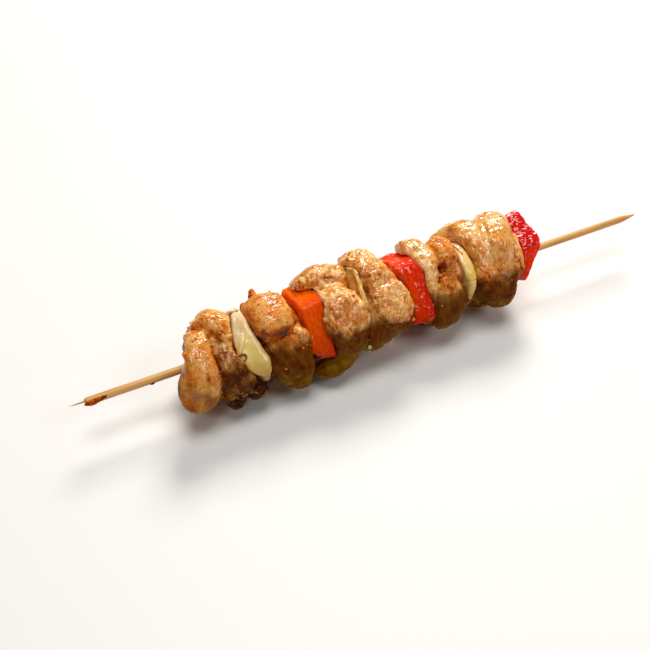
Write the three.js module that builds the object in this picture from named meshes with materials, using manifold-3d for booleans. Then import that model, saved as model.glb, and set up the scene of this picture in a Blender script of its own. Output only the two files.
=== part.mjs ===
// A grilled chicken kebab on a bamboo skewer, lying down as it is served: five folded
// chunks and one doubled chunk of thigh meat, three red pepper squares and three onion
// petals, all threaded on one stick.
//
// Millimetres, +Z up, the stick along X with its sound point at +X. The food rests on z = 0,
// and the stick's axis runs level above it. A place on the food is written as
// [x, radius, angle]: the distance along the stick from its middle, the distance out from
// its axis, and the degrees round it from straight up towards the front, which is -Y.
import * as THREE from "three";
import { mergeVertices } from "three/addons/utils/BufferGeometryUtils.js";
import Module from "manifold-3d";

const wasm = await Module();
wasm.setup();

// Driving dimensions.
const STICK_LENGTH = 250;
const STICK_RADIUS = 1.5;
const POINT_LENGTH = 9; // of the sharpened end at +X
const SPLINTER_LENGTH = 6; // of the sliver left standing at -X, where the stick snapped
const AXIS_HEIGHT = 18.2; // of the stick above the surface the food lies on
const GAP = 0.3; // between pieces that touch
const PEPPER_WALL = 8.4; // thickness of the pepper's flesh
const ONION_LAYER = 3.4; // thickness of one onion petal

const DEGREE = Math.PI / 180;
const OUTWARD = (angle) => new THREE.Vector3(0, -Math.sin(angle * DEGREE), Math.cos(angle * DEGREE));

// The place [x, radius, angle] as a point relative to the stick's axis.
function place(x, radius, angle) {
  return OUTWARD(angle).multiplyScalar(radius).setX(x);
}

// Soft lumps of cooked flesh: a sum of waves that run in spread directions and shorten
// from one to the next. The result is between about -1 and 1.
const WAVES = 7;
const LONGEST_WAVE = 15;
const WAVE_SHRINK = 0.8;
const GOLDEN_ANGLE = Math.PI * (3 - Math.sqrt(5));
function lumps(point, seed) {
  let sum = 0;
  for (let i = 0; i < WAVES; i++) {
    const rise = 1 - (2 * i + 1) / WAVES;
    const flat = Math.sqrt(1 - rise * rise);
    const turn = GOLDEN_ANGLE * (i + seed);
    const along = flat * Math.cos(turn) * point.x + flat * Math.sin(turn) * point.y + rise * point.z;
    const wavelength = LONGEST_WAVE * WAVE_SHRINK ** i;
    const phase = (2 * Math.PI * along) / wavelength + seed * (i + 1);
    sum += Math.sin(phase) * Math.sqrt(wavelength / LONGEST_WAVE);
  }
  return sum / Math.sqrt(WAVES);
}

// A closed solid from any closed three.js geometry, swollen by `grow` all round. Corners
// move further than faces, so that the faces beside a square edge keep the distance too.
const CORNER_STRETCH = Math.SQRT2;
function solidOf(geometry, grow = 0) {
  const bare = geometry.clone();
  bare.deleteAttribute("normal");
  bare.deleteAttribute("uv");
  const merged = mergeVertices(bare, 1e-4);
  if (grow) {
    merged.computeVertexNormals();
    const { position, normal } = merged.attributes;
    const step = new THREE.Vector3();
    for (let i = 0; i < position.count; i++) {
      step.fromBufferAttribute(normal, i).multiplyScalar(grow * CORNER_STRETCH);
      position.setXYZ(i, position.getX(i) + step.x, position.getY(i) + step.y, position.getZ(i) + step.z);
    }
  }
  return new wasm.Manifold(
    new wasm.Mesh({
      numProp: 3,
      vertProperties: new Float32Array(merged.attributes.position.array),
      triVerts: new Uint32Array(merged.index.array),
    }),
  );
}

function reshape(geometry, move) {
  const position = geometry.attributes.position;
  const point = new THREE.Vector3();
  for (let i = 0; i < position.count; i++) {
    move(point.fromBufferAttribute(position, i));
    position.setXYZ(i, point.x, point.y, point.z);
  }
  return geometry;
}

// One bundle of muscle: a blunt sausage that follows a path of places round the stick,
// [x, radius, angle, girth], and is `wide` across and `deep` towards the stick. Girth
// swells or thins it along the path. `blunt` is the power of the rounding at its ends and
// `boxy` that of its cross-section, where 2 is an ellipse.
const STEP = 0.01;
function bundle({ path, wide, deep, detail = 2, blunt = 2.8, boxy = 2.8 }, seed, relief) {
  const track = new THREE.CatmullRomCurve3(
    path.map(([x, radius, angle]) => new THREE.Vector3(x, radius, angle)),
    false,
    "catmullrom",
  );
  const girths = new THREE.CatmullRomCurve3(
    path.map(([, , , girth = 1]) => new THREE.Vector3(girth, 0, 0)),
    false,
    "catmullrom",
  );
  const at = (t) => {
    const { x, y, z } = track.getPoint(t);
    return place(x, y, z);
  };
  return reshape(new THREE.IcosahedronGeometry(1, detail), (point) => {
    const t = (point.x + 1) / 2;
    const centre = at(t);
    const along = at(Math.min(t + STEP, 1)).sub(at(Math.max(t - STEP, 0))).normalize();
    const out = OUTWARD(track.getPoint(t).z);
    out.addScaledVector(along, -out.dot(along)).normalize();
    const side = out.clone().cross(along);
    const reach = Math.max(0, 1 - Math.abs(point.x) ** blunt) ** (1 / blunt);
    const turn = Math.atan2(point.z, point.y);
    const [across, up] = [Math.cos(turn), Math.sin(turn)];
    const box = reach / (Math.abs(across) ** boxy + Math.abs(up) ** boxy) ** (1 / boxy);
    const girth = girths.getPoint(t).x * box;
    const skin = side.multiplyScalar(across * wide * girth).addScaledVector(out, up * deep * girth);
    point.copy(centre).add(skin);
    point.addScaledVector(skin.normalize(), relief * lumps(point, seed) * reach);
  });
}

// A chunk of chicken: bundles fused into one lump.
function chunk({ bundles, seed, relief = 0.55 }, grow = 0) {
  return bundles
    .map((one, i) => solidOf(bundle(one, seed + i, relief), grow))
    .reduce((whole, next) => whole.add(next));
}

// A square of vegetable wall standing across the stick, `wall` thick. Its four corners are
// given as [radius, angle, shift along x, share of the wall] in order round the stick, and
// `squareness` is the power of the superellipse that rounds them. `belly` is the share of a
// wall that its first side is thicker by, most of all near its second corner. `bow` is how
// far the middle stands out towards +X, one number for each way across the square, `flare`
// is how much larger the +X side is than the other, `waist` is how far the edges are drawn
// in between the corners, and `lean` tips the square: x per millimetre of height.
const SIDE_STEPS = 6;
const WALL_STEPS = 2;
const WRINKLE = 0.35;
function square({ wall, squareness, x, corners, bow, belly = 0, flare = 0, waist = 0, lean = 0, seed }) {
  const box = new THREE.BoxGeometry(2, 2, 2, WALL_STEPS, SIDE_STEPS, SIDE_STEPS);
  return reshape(box, (point) => {
    const { y: v, z: w } = point;
    const largest = Math.max(Math.abs(v), Math.abs(w));
    const norm = (Math.abs(v) ** squareness + Math.abs(w) ** squareness) ** (1 / squareness);
    const rounded = norm > 0 ? largest / norm : 1;
    const [s, t] = [(v * rounded + 1) / 2, (w * rounded + 1) / 2];
    const spot = new THREE.Vector3();
    let thick = belly * (1 - v * v) * (1 + v) * (1 - w) * 0.4;
    [(1 - s) * (1 - t), s * (1 - t), s * t, (1 - s) * t].forEach((weight, i) => {
      const [radius, angle, shift = 0, share = 1] = corners[i];
      spot.addScaledVector(place(shift, radius, angle), weight);
      thick += share * weight;
    });
    const pinch = waist * largest * (1 - v * v * w * w);
    const spread = (1 + (point.x - 1) * 0.5 * flare) * (1 - pinch);
    const bulge = bow[0] * (1 - v * v) + bow[1] * (1 - w * w);
    const wrinkle = WRINKLE * lumps(spot.clone().setX(0), seed);
    const along = x + spot.x + (point.x * thick * wall) / 2 + bulge + wrinkle + lean * spot.z;
    point.set(along, spot.y * spread, spot.z * spread);
  });
}

// The meat, from the snapped end of the stick to its point. The first bundle of each chunk is
// the core that the stick runs through, and the last is its underside and back.
const CHUNKS = {
  chicken_1: {
    seed: 1.3,
    bundles: [
      { path: [[-77, 0, 0], [-66, 0, 0]], wide: 11.5, deep: 11.5 },
      {
        path: [[-76.4, 10.8, -24, 0.66], [-77.2, 11.4, 6, 0.68], [-78, 11.8, 30, 0.72],
          [-79.2, 11.8, 54, 0.88], [-80.6, 11.8, 78, 1.08], [-81.6, 12.6, 100, 1.1],
          [-82, 14, 126, 0.9]],
        wide: 6.9, deep: 5.6, detail: 3, blunt: 4, boxy: 3.2,
      },
      {
        path: [[-77.4, 10.6, -34, 0.85], [-73.6, 11.4, -28], [-69.4, 11.6, -24, 1.1],
          [-66.4, 11, 0, 0.95], [-66, 10.8, 22, 0.62], [-66.4, 10.8, 42, 0.45]],
        wide: 5.8, deep: 5.8, detail: 3,
      },
      {
        path: [[-68.8, 10.6, 24, 0.42], [-69.2, 11.2, 48, 0.64], [-68.8, 11.8, 70, 0.9],
          [-67.8, 13.2, 92, 1.08], [-67.2, 15.6, 110, 0.9]],
        wide: 5.8, deep: 5.2, detail: 3,
      },
      { path: [[-71, 12, 100, 0.9], [-69.4, 16, 116], [-69, 20, 130, 0.6]], wide: 4, deep: 3.8 },
      { path: [[-65, 11, 94], [-61.4, 14.8, 112], [-58.6, 18, 129, 0.8]], wide: 4.8, deep: 4.4 },
      {
        path: [[-70, 11, -54, 0.85], [-70, 11.5, -110], [-70, 12.6, -160], [-70, 13.6, -210, 0.8]],
        wide: 9, deep: 7,
      },
      {
        path: [[-81, 13.6, 34, 1.1], [-83, 14.8, 30], [-83.8, 15.6, 23, 0.8]],
        wide: 1.2, deep: 0.8, detail: 1,
      },
    ],
  },
  chicken_2: {
    seed: 4.1,
    bundles: [
      { path: [[-57, 0, 0], [-36, 0, 0]], wide: 11, deep: 11 },
      {
        path: [[-56.8, 9.4, 6, 0.9], [-52, 10.8, 4, 1.02], [-46.4, 10.8, 2], [-41.2, 10, 2, 0.92]],
        wide: 9.6, deep: 6.8, detail: 3, blunt: 3.6, boxy: 3.2,
      },
      {
        path: [[-50.6, 7, 40], [-48.6, 8.8, 64, 1.05], [-46.4, 12.4, 90, 1.05],
          [-44.6, 16.4, 114, 0.85], [-43.6, 20.9, 131, 0.45]],
        wide: 8.2, deep: 5.6, detail: 3,
      },
      { path: [[-41.2, 10.8, 46], [-41.4, 12, 84, 0.8]], wide: 4, deep: 4.6 },
      { path: [[-41.2, 11.6, 42], [-41.8, 11.8, 58]], wide: 2.7, deep: 3.8 },
      {
        path: [[-51, 15, -34], [-50.2, 18.2, -40, 0.9], [-49.8, 20.4, -43, 0.5]],
        wide: 1.7, deep: 1, detail: 1,
      },
      { path: [[-56, 13, -26], [-55, 15.8, -36, 0.8]], wide: 1.8, deep: 1.4, detail: 1 },
      {
        path: [[-47, 10.4, -42, 0.9], [-47, 11, -100], [-47, 12, -150], [-46, 13.2, -205, 0.8]],
        wide: 9.8, deep: 7.2,
      },
    ],
  },
  chicken_3: {
    seed: 7.7,
    bundles: [
      { path: [[-34, 0, 0], [-10, 0, 0]], wide: 13.2, deep: 13.2 },
      {
        path: [[-36.2, 12.4, -42, 0.75], [-29, 13.2, -41], [-21, 13.6, -37, 1.05],
          [-11.6, 13.8, -32, 0.9]],
        wide: 8.6, deep: 7, detail: 3,
      },
      {
        path: [[-24.4, 11.4, -16, 0.9], [-23.6, 11.2, 18, 1.04], [-22.8, 11.2, 50, 1.12],
          [-23, 11.4, 84], [-24, 12, 115, 0.9], [-26.4, 13, 140, 0.7]],
        wide: 8.3, deep: 7.2, detail: 3, boxy: 3.2,
      },
      { path: [[-27.6, 13.6, -2], [-26.8, 13.8, 18, 0.9]], wide: 3.8, deep: 3.6 },
      { path: [[-23.2, 13.6, 26], [-21.8, 13.6, 40, 1.1]], wide: 4, deep: 4.2 },
      {
        path: [[-21, 12.4, 92, 0.9], [-25.6, 15.8, 114], [-31.6, 17.4, 126, 0.9],
          [-37.6, 16.6, 131, 0.5]],
        wide: 5.4, deep: 4.6,
      },
      {
        path: [[-23, 11, -68, 0.85], [-23, 11.4, -120], [-23, 12.4, -175], [-23, 12, -225, 0.85]],
        wide: 9.2, deep: 7.6,
      },
    ],
  },
  chicken_4: {
    seed: 11.2,
    bundles: [
      { path: [[-16, 0, 0], [5, 0, 0]], wide: 12.5, deep: 12.5 },
      {
        path: [[-8.6, 14, -62, 0.85], [-7.8, 15.2, -40, 1.05], [-6.8, 13.6, -14],
          [-5.4, 11.8, 14, 0.98], [-4.6, 11.4, 42, 0.95]],
        wide: 7.4, deep: 7.2, detail: 3,
      },
      {
        path: [[-5.6, 10, 2, 0.9], [-4.4, 11.2, 34, 1.1], [-4.2, 11.2, 64, 1.16],
          [-5.4, 11.2, 92, 1.05], [-7, 11.4, 120, 0.8]],
        wide: 7.8, deep: 7, detail: 3, boxy: 3.4,
      },
      {
        path: [[-11, 10.8, 34, 0.9], [-11.2, 11.4, 80], [-11, 11.8, 112], [-10.6, 12, 142, 0.8]],
        wide: 7, deep: 6.4,
      },
      {
        path: [[-6, 11.4, -66, 0.85], [-6, 11.4, -120], [-6, 12.4, -170], [-6, 12, -220, 0.85]],
        wide: 9, deep: 7.6,
      },
    ],
  },
  chicken_5: {
    seed: 14.9,
    bundles: [
      { path: [[12, 0, 0], [31, 0, 0]], wide: 11, deep: 11 },
      {
        path: [[13.2, 17.2, -54, 0.7], [15, 15.4, -34, 1.1], [16, 13, -6, 1.05],
          [15.8, 12.4, 20, 0.95], [14.6, 12.8, 42, 0.6], [14, 13, 66, 0.42], [14, 13, 92, 0.35]],
        wide: 4.6, deep: 4.6, detail: 3, blunt: 4, boxy: 4,
      },
      {
        path: [[20, 10.6, -6, 0.9], [25, 11.2, -5, 1.1], [30.4, 11, 0, 0.95]],
        wide: 7.6, deep: 6.6, detail: 3, blunt: 3.4,
      },
      { path: [[18.2, 12.4, 46, 0.9], [20.8, 12.8, 54]], wide: 3.8, deep: 4.4 },
      { path: [[27.6, 10.8, 26, 0.95], [28, 10.6, 58]], wide: 3.6, deep: 4.4 },
      {
        path: [[23.4, 8.4, 48, 0.85], [22.4, 10.6, 74, 1.05], [19.8, 12.8, 98, 1.05],
          [17, 16.6, 123, 0.95]],
        wide: 7.6, deep: 6, detail: 3,
      },
      {
        path: [[21, 9.8, -52, 0.85], [21, 11, -115], [21, 12.4, -165], [20, 13.4, -215, 0.8]],
        wide: 9.4, deep: 7,
      },
    ],
  },
  chicken_6: {
    seed: 18.4,
    bundles: [
      { path: [[34, 0, 0], [54, 0, 0]], wide: 12.5, deep: 12.5 },
      {
        path: [[28.6, 9.6, -66, 0.7], [32, 12.4, -50, 0.95], [38, 14.2, -37, 1.02],
          [40.6, 13, -14, 1.05], [41, 11.6, 12], [41, 11, 36, 1], [40.6, 10.8, 62, 0.95]],
        wide: 8, deep: 7, detail: 3,
      },
      {
        path: [[54.4, 13, -58, 0.8], [53, 14.2, -36], [49.6, 14, -4], [46.6, 12.8, 30],
          [44.6, 11.6, 60, 0.9]],
        wide: 7.2, deep: 6.8, detail: 3,
      },
      {
        path: [[54, 11.4, -8, 0.7], [52.4, 11.6, 20, 0.95], [50.8, 11.4, 50], [49.6, 11.2, 80, 0.95],
          [48, 12, 100, 0.8]],
        wide: 5.4, deep: 5.2, detail: 3, boxy: 4,
      },
      {
        path: [[36.5, 9.8, 32, 0.8], [40, 11.2, 64, 1.05], [42.8, 12.4, 94, 0.95],
          [44.6, 12.8, 126, 0.75]],
        wide: 7, deep: 6.8, detail: 3,
      },
      {
        path: [[48.4, 10, 66, 0.8], [47, 11.8, 90, 0.9], [45.8, 13, 116, 0.9], [45.4, 13, 144, 0.75]],
        wide: 6.2, deep: 6.6,
      },
      { path: [[55.4, 12, -2, 0.8], [55.2, 12.8, 16], [54.6, 13, 32, 0.8]], wide: 2.7, deep: 2.8, boxy: 4 },
      {
        path: [[45, 11.8, -62, 0.85], [45, 12, -120, 1.1], [46, 12.4, -170, 0.9],
          [47, 12.4, -220, 0.7]],
        wide: 10, deep: 7.6,
      },
    ],
  },
};

const PEPPER = { wall: PEPPER_WALL, squareness: 7 };
const PEPPERS = {
  pepper_1: {
    ...PEPPER,
    x: -34,
    corners: [[18.4, 17], [19.2, 96], [17, 190], [20, -56]],
    bow: [0.4, 0.2],
    flare: 0.12,
    waist: 0.03,
    seed: 2.2,
  },
  pepper_2: {
    ...PEPPER,
    x: 8,
    corners: [[19.4, 8], [19.4, 92], [17, 184], [19.4, -64]],
    bow: [2.4, 0.8],
    flare: 0.06,
    waist: 0.03,
    lean: -0.09,
    seed: 5.9,
  },
  pepper_3: {
    ...PEPPER,
    x: 60,
    corners: [[20.6, -25], [17, 38, 1.6], [14, 106, -3.4, 0.3], [17, -118, -1, 0.6]],
    bow: [0.5, 0.6],
    flare: 0.1,
    waist: 0.04,
    seed: 9.1,
  },
};

const ONION = { wall: ONION_LAYER, squareness: 2.7 };
const ONIONS = {
  onion_1: {
    ...ONION,
    x: -57.7,
    squareness: 4.5,
    corners: [[20, -8, -3, 1.4], [19.4, 92, 1, 0.8], [17, 172, -1], [20, -98, -2]],
    bow: [-1.8, 0],
    belly: 2.1,
    seed: 3.3,
  },
  onion_2: {
    ...ONION,
    wall: 2.2,
    x: -13,
    corners: [[22.4, -6, 0, 0.9], [16, 60], [19, 126], [20.6, -80]],
    bow: [-1.2, -0.8],
    lean: 0.04,
    seed: 6.6,
  },
  onion_3: {
    ...ONION,
    x: 30.6,
    corners: [[18.8, -14], [19.6, 60], [16.6, 138], [17, -105]],
    bow: [-0.4, -0.4],
    belly: 0.5,
    lean: 0.11,
    seed: 8.8,
  },
};

// The stick: a round rod, pointed at +X and snapped at -X, where a sliver stands on along
// its upper edge and a scrap of browned meat still clings.
const ROD_SIDES = 12;
function stick(grow = 0) {
  const radius = STICK_RADIUS + grow;
  const half = STICK_LENGTH / 2;
  const snapped = -half + SPLINTER_LENGTH;
  const shoulder = half - POINT_LENGTH;
  const outline = [
    [0, snapped],
    [radius * 0.86, snapped],
    [radius, snapped + 1.2],
    [radius, shoulder],
    [radius * 0.72, shoulder + POINT_LENGTH * 0.42],
    [radius * 0.34, shoulder + POINT_LENGTH * 0.78],
    [0, half],
  ].map(([out, along]) => new THREE.Vector2(out, along));
  const rod = new THREE.LatheGeometry(outline, ROD_SIDES).rotateZ(-Math.PI / 2);
  const sliver = new THREE.ConeGeometry(radius * 0.62, SPLINTER_LENGTH * 2, 6);
  sliver.rotateZ(Math.PI / 2).translate(snapped, 0, radius * 0.3);
  return solidOf(rod).add(solidOf(sliver));
}

const scrap = () =>
  chunk({
    seed: 21,
    relief: 0.15,
    bundles: [
      {
        path: [[-119.6, 1.1, 95, 0.7], [-116, 1.3, 80], [-111.2, 1.2, 55, 0.7]],
        wide: 1.1, deep: 0.8, detail: 1,
      },
      { path: [[-96, 1, 130], [-94, 1.1, 130]], wide: 0.9, deep: 0.8, detail: 1 },
    ],
  });

// The bare core of every piece first, then what each is cut back by.
const largestBody = (solid) => solid.decompose().sort((a, b) => b.volume() - a.volume())[0];
const BORE_RADIUS = STICK_RADIUS + GAP;
const bore = solidOf(
  new THREE.CylinderGeometry(BORE_RADIUS, BORE_RADIUS, STICK_LENGTH, ROD_SIDES).rotateZ(-Math.PI / 2),
);
const SURFACE_SIZE = 400;
const slab = new THREE.BoxGeometry(SURFACE_SIZE, SURFACE_SIZE, SURFACE_SIZE);
const surface = solidOf(slab.translate(0, 0, -AXIS_HEIGHT - SURFACE_SIZE / 2));

const solids = {};
const firmShapes = { ...PEPPERS, ...ONIONS };
for (const [name, shape] of Object.entries(firmShapes)) {
  solids[name] = solidOf(square(shape)).subtract(bore).subtract(surface);
}
const firm = Object.values(firmShapes)
  .flatMap((shape) => [solidOf(square(shape)), solidOf(square(shape), GAP)])
  .reduce((whole, next) => whole.add(next));
let before = null;
for (const [name, shape] of Object.entries(CHUNKS)) {
  let solid = chunk(shape).subtract(firm).subtract(bore).subtract(surface);
  if (before) solid = solid.subtract(before);
  solids[name] = largestBody(solid);
  before = chunk(shape, GAP);
}
solids.skewer_stick = stick().add(scrap().subtract(surface));

const COLOURS = { chicken: "#b98a5e", pepper: "#c8340f", onion: "#d8cf9a", skewer: "#d29a52" };
const ROUGHNESS = { chicken: 0.45, pepper: 0.3, onion: 0.3, skewer: 0.6 };

function meshOf(name, solid) {
  const { vertProperties, triVerts } = solid.getMesh();
  const geometry = new THREE.BufferGeometry();
  geometry.setAttribute("position", new THREE.BufferAttribute(new Float32Array(vertProperties), 3));
  geometry.setIndex(new THREE.BufferAttribute(new Uint32Array(triVerts), 1));
  geometry.computeVertexNormals();
  const kind = name.split("_")[0];
  const mesh = new THREE.Mesh(
    geometry,
    new THREE.MeshStandardMaterial({ color: COLOURS[kind], roughness: ROUGHNESS[kind], metalness: 0 }),
  );
  mesh.name = name;
  return mesh;
}

const kebab = new THREE.Group();
kebab.name = "chicken_kebab_skewer";
for (const [name, solid] of Object.entries(solids)) kebab.add(meshOf(name, solid));
const centre = new THREE.Box3().setFromObject(kebab).getCenter(new THREE.Vector3());
for (const mesh of kebab.children) mesh.position.set(-centre.x, -centre.y, AXIS_HEIGHT);

export default kebab;
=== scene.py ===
"""A grilled chicken kebab on a bamboo skewer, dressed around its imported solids.

The food is worked in millimetres round the stick: a place on it is [x, radius, angle], the
distance along the stick from its middle, the distance out from its axis, and the degrees
round it from straight up towards the front, which is -Y. Each finished piece is then put
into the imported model's frame, in metres.
"""
import logging
import math
from dataclasses import dataclass, field
from enum import Enum
from typing import Any, Callable, Iterable, Sequence

import bmesh
import bpy
import numpy as np
from mathutils import Matrix, Vector, noise
from mathutils.bvhtree import BVHTree


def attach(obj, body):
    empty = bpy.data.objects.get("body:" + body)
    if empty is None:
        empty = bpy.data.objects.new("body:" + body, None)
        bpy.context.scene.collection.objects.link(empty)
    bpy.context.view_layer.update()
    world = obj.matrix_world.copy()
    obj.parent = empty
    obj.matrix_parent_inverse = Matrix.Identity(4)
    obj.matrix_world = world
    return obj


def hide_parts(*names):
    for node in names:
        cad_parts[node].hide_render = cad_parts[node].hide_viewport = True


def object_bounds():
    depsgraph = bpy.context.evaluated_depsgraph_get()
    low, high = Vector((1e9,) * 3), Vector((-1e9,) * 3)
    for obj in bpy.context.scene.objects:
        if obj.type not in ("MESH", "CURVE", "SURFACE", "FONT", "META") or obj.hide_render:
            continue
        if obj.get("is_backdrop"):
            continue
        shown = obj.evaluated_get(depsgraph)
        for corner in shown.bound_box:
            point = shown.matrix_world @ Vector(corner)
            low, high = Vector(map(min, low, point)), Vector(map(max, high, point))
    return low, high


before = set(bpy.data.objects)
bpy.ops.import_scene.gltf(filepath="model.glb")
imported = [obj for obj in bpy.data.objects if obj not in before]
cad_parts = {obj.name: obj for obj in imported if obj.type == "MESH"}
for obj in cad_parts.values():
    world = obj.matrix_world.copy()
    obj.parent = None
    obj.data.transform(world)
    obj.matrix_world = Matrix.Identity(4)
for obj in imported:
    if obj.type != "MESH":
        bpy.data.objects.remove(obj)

SOLID_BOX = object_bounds()
log = logging.getLogger("kebab")

# Driving dimensions, in millimetres.
MM = 0.001
STICK_LENGTH = 250.0
STICK_RADIUS = 1.5
POINT_LENGTH = 9.0
SPLINTER_LENGTH = 6.0
PEPPER_WALL = 8.4
ONION_LAYER = 3.4
CLEARANCE = 0.05  # left between pieces that press against each other
FOOD_END = 100.0  # past this x the stick is bare and round
NEARBY = 8.0  # a square this close to a chunk presses on it
VOXEL = 0.27  # of the meat's skin
SMALL = 2.6  # bundles narrower than this keep their form where the rest is softened

Mesh = bpy.types.Mesh
Material = bpy.types.Material
Rows = np.ndarray
Stop = tuple[float, ...]
Spot = tuple[float, float, float]


def paint(code: str) -> tuple[float, float, float, float]:
    """The linear colour of a hex code such as "#d8a060".

    Args:
        code: The hex code.

    Returns:
        Red, green, blue and an alpha of 1.
    """
    parts = [int(code[i:i + 2], 16) / 255 for i in (1, 3, 5)]
    linear = [c / 12.92 if c <= 0.04045 else ((c + 0.055) / 1.055) ** 2.4 for c in parts]
    return (*linear, 1.0)


# ---------------------------------------------------------------- places and noise


def stick_axis() -> Rows:
    """The middle of the stick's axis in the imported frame, in millimetres.

    Returns:
        Its x, y and z, with x at 0.
    """
    bare = [v.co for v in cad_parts["skewer_stick"].data.vertices if v.co.x > FOOD_END * MM]
    middle = [(min(c[i] for c in bare) + max(c[i] for c in bare)) / 2 / MM for i in (1, 2)]
    return np.array([0.0, *middle])


MIDDLE = stick_axis()
FLOOR_DEPTH = float(MIDDLE[2])  # of the floor below the stick's axis


def outward(angle: Rows) -> Rows:
    """Unit vectors away from the stick at angles in degrees."""
    turn = np.radians(angle)
    return np.stack([np.zeros_like(turn), -np.sin(turn), np.cos(turn)], axis=-1)


def place(stops: Rows) -> Rows:
    """Points from rows of [x, radius, angle].

    Args:
        stops: The rows.

    Returns:
        One point for each row, in millimetres round the stick.
    """
    points = outward(stops[:, 2]) * stops[:, 1:2]
    points[:, 0] = stops[:, 0]
    return points


def unit(vectors: Rows) -> Rows:
    """The rows of an array, each made one long."""
    return vectors / np.maximum(np.linalg.norm(vectors, axis=1, keepdims=True), 1e-9)


def spline(stops: Rows, t: Rows) -> Rows:
    """A uniform Catmull-Rom curve.

    Args:
        stops: The rows that the curve passes through.
        t: Where on the curve, from 0 to 1.

    Returns:
        One row for each t.
    """
    last = len(stops) - 1
    padded = np.vstack([2 * stops[0] - stops[1], stops, 2 * stops[-1] - stops[-2]])
    at = np.clip(t, 0, 1) * last
    i = np.minimum(at.astype(int), last - 1)
    u = (at - i)[:, None]
    p0, p1, p2, p3 = (padded[i + step] for step in range(4))
    m1, m2 = (p2 - p0) / 2, (p3 - p1) / 2
    bend = 3 * (p2 - p1) - 2 * m1 - m2
    return p1 + u * m1 + u**2 * bend + u**3 * (2 * (p1 - p2) + m1 + m2)


WAVES = 7
LONGEST_WAVE = 15.0
WAVE_SHRINK = 0.8
GOLDEN_ANGLE = math.pi * (3 - math.sqrt(5))
GRAIN_STEP, CELL_STEP = 19.7, 13.3  # how far one seed lies from the next, in features


def lumps(points: Rows, seed: float) -> Rows:
    """The soft lumps of cooked flesh, as waves in spread directions.

    Args:
        points: Where to read them.
        seed: Moves them.

    Returns:
        Values between about -1 and 1.
    """
    total = np.zeros(len(points))
    for i in range(WAVES):
        rise = 1 - (2 * i + 1) / WAVES
        flat = math.sqrt(1 - rise * rise)
        turn = GOLDEN_ANGLE * (i + seed)
        way = np.array([flat * math.cos(turn), flat * math.sin(turn), rise])
        length = LONGEST_WAVE * WAVE_SHRINK**i
        wave = np.sin(2 * math.pi * (points @ way) / length + seed * (i + 1))
        total += wave * math.sqrt(length / LONGEST_WAVE)
    return total / math.sqrt(WAVES)


def grain(points: Rows, size: float | Sequence[float], seed: float, octaves: int = 1) -> Rows:
    """Perlin noise.

    Args:
        points: Where to read it.
        size: Millimetres across a feature, one number or one for each axis.
        seed: Moves the pattern.
        octaves: How many finer layers are added.

    Returns:
        Values between about -1 and 1.
    """
    spots = (points / np.asarray(size) + seed * GRAIN_STEP).tolist()
    if octaves == 1:
        found = (noise.noise(spot) for spot in spots)
    else:
        found = (noise.fractal(spot, 1.0, 2.0, octaves) for spot in spots)
    return np.fromiter(found, float, len(spots))


def cells(points: Rows, size: float, seed: float) -> Rows:
    """The distance to the nearest of scattered cell middles.

    Args:
        points: Where to read it.
        size: Millimetres across a cell.
        seed: Moves the cells.

    Returns:
        Distances in cells, 0 at a middle.
    """
    spots = (points / size + seed * CELL_STEP).tolist()
    found = (noise.noise(spot, noise_basis="VORONOI_F1") for spot in spots)
    return np.fromiter(found, float, len(spots)) / 2 + 0.5


def fade(values: Rows, low: float, high: float) -> Rows:
    """A smooth step from 0 at low to 1 at high."""
    t = np.clip((values - low) / (high - low), 0, 1)
    return t * t * (3 - 2 * t)


# ---------------------------------------------------------------- meshes


def rows_of(items: Any, name: str, width: int = 3, kind: type = np.float32) -> Rows:
    """Reads a value of each vertex, edge or face of a mesh.

    Args:
        items: The vertices, edges or faces, or an attribute's data.
        name: The value's name.
        width: How many numbers it has.
        kind: The type of the numbers.

    Returns:
        One row for each item.
    """
    flat = np.empty(len(items) * width, kind)
    items.foreach_get(name, flat)
    return flat.reshape(-1, width)


def points_of(mesh: Mesh, name: str = "co") -> Rows:
    """The places of a mesh's vertices, or under the name "normal" the ways that they face."""
    return rows_of(mesh.vertices, name).astype(float)


def move_points(mesh: Mesh, points: Rows) -> None:
    """Puts a mesh's vertices at new places."""
    mesh.vertices.foreach_set("co", points.astype(np.float32).ravel())
    mesh.update()


def mesh_from(work: bmesh.types.BMesh, name: str = "work") -> Mesh:
    """A mesh from a bmesh, which is freed.

    Args:
        work: The bmesh.
        name: The name of the mesh.

    Returns:
        The mesh.
    """
    mesh = bpy.data.meshes.new(name)
    work.to_mesh(mesh)
    work.free()
    return mesh


def thing_of(name: str, data: Any) -> bpy.types.Object:
    """A new object in the scene.

    Args:
        name: The object's name.
        data: Its mesh, light or camera.

    Returns:
        The object.
    """
    thing = bpy.data.objects.new(name, data)
    bpy.context.scene.collection.objects.link(thing)
    return thing


def ball(fineness: int) -> Mesh:
    """A ball of radius 1 with even triangles.

    Args:
        fineness: How finely its faces are split, 1 being the plainest.

    Returns:
        The ball.
    """
    work = bmesh.new()
    bmesh.ops.create_icosphere(work, subdivisions=fineness, radius=1.0)
    return mesh_from(work)


def block(steps: int) -> Mesh:
    """A cube from -1 to 1 with a grid of squares on each side.

    Args:
        steps: Squares along each edge.

    Returns:
        The cube.
    """
    work = bmesh.new()
    bmesh.ops.create_cube(work, size=2.0)
    bmesh.ops.subdivide_edges(work, edges=work.edges[:], cuts=steps - 1, use_grid_fill=True)
    return mesh_from(work)


def joined(meshes: Iterable[Mesh]) -> Mesh:
    """One mesh from several, which are removed.

    Args:
        meshes: The meshes.

    Returns:
        The mesh of all their faces.
    """
    work = bmesh.new()
    for mesh in meshes:
        work.from_mesh(mesh)
        bpy.data.meshes.remove(mesh)
    return mesh_from(work)


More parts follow.
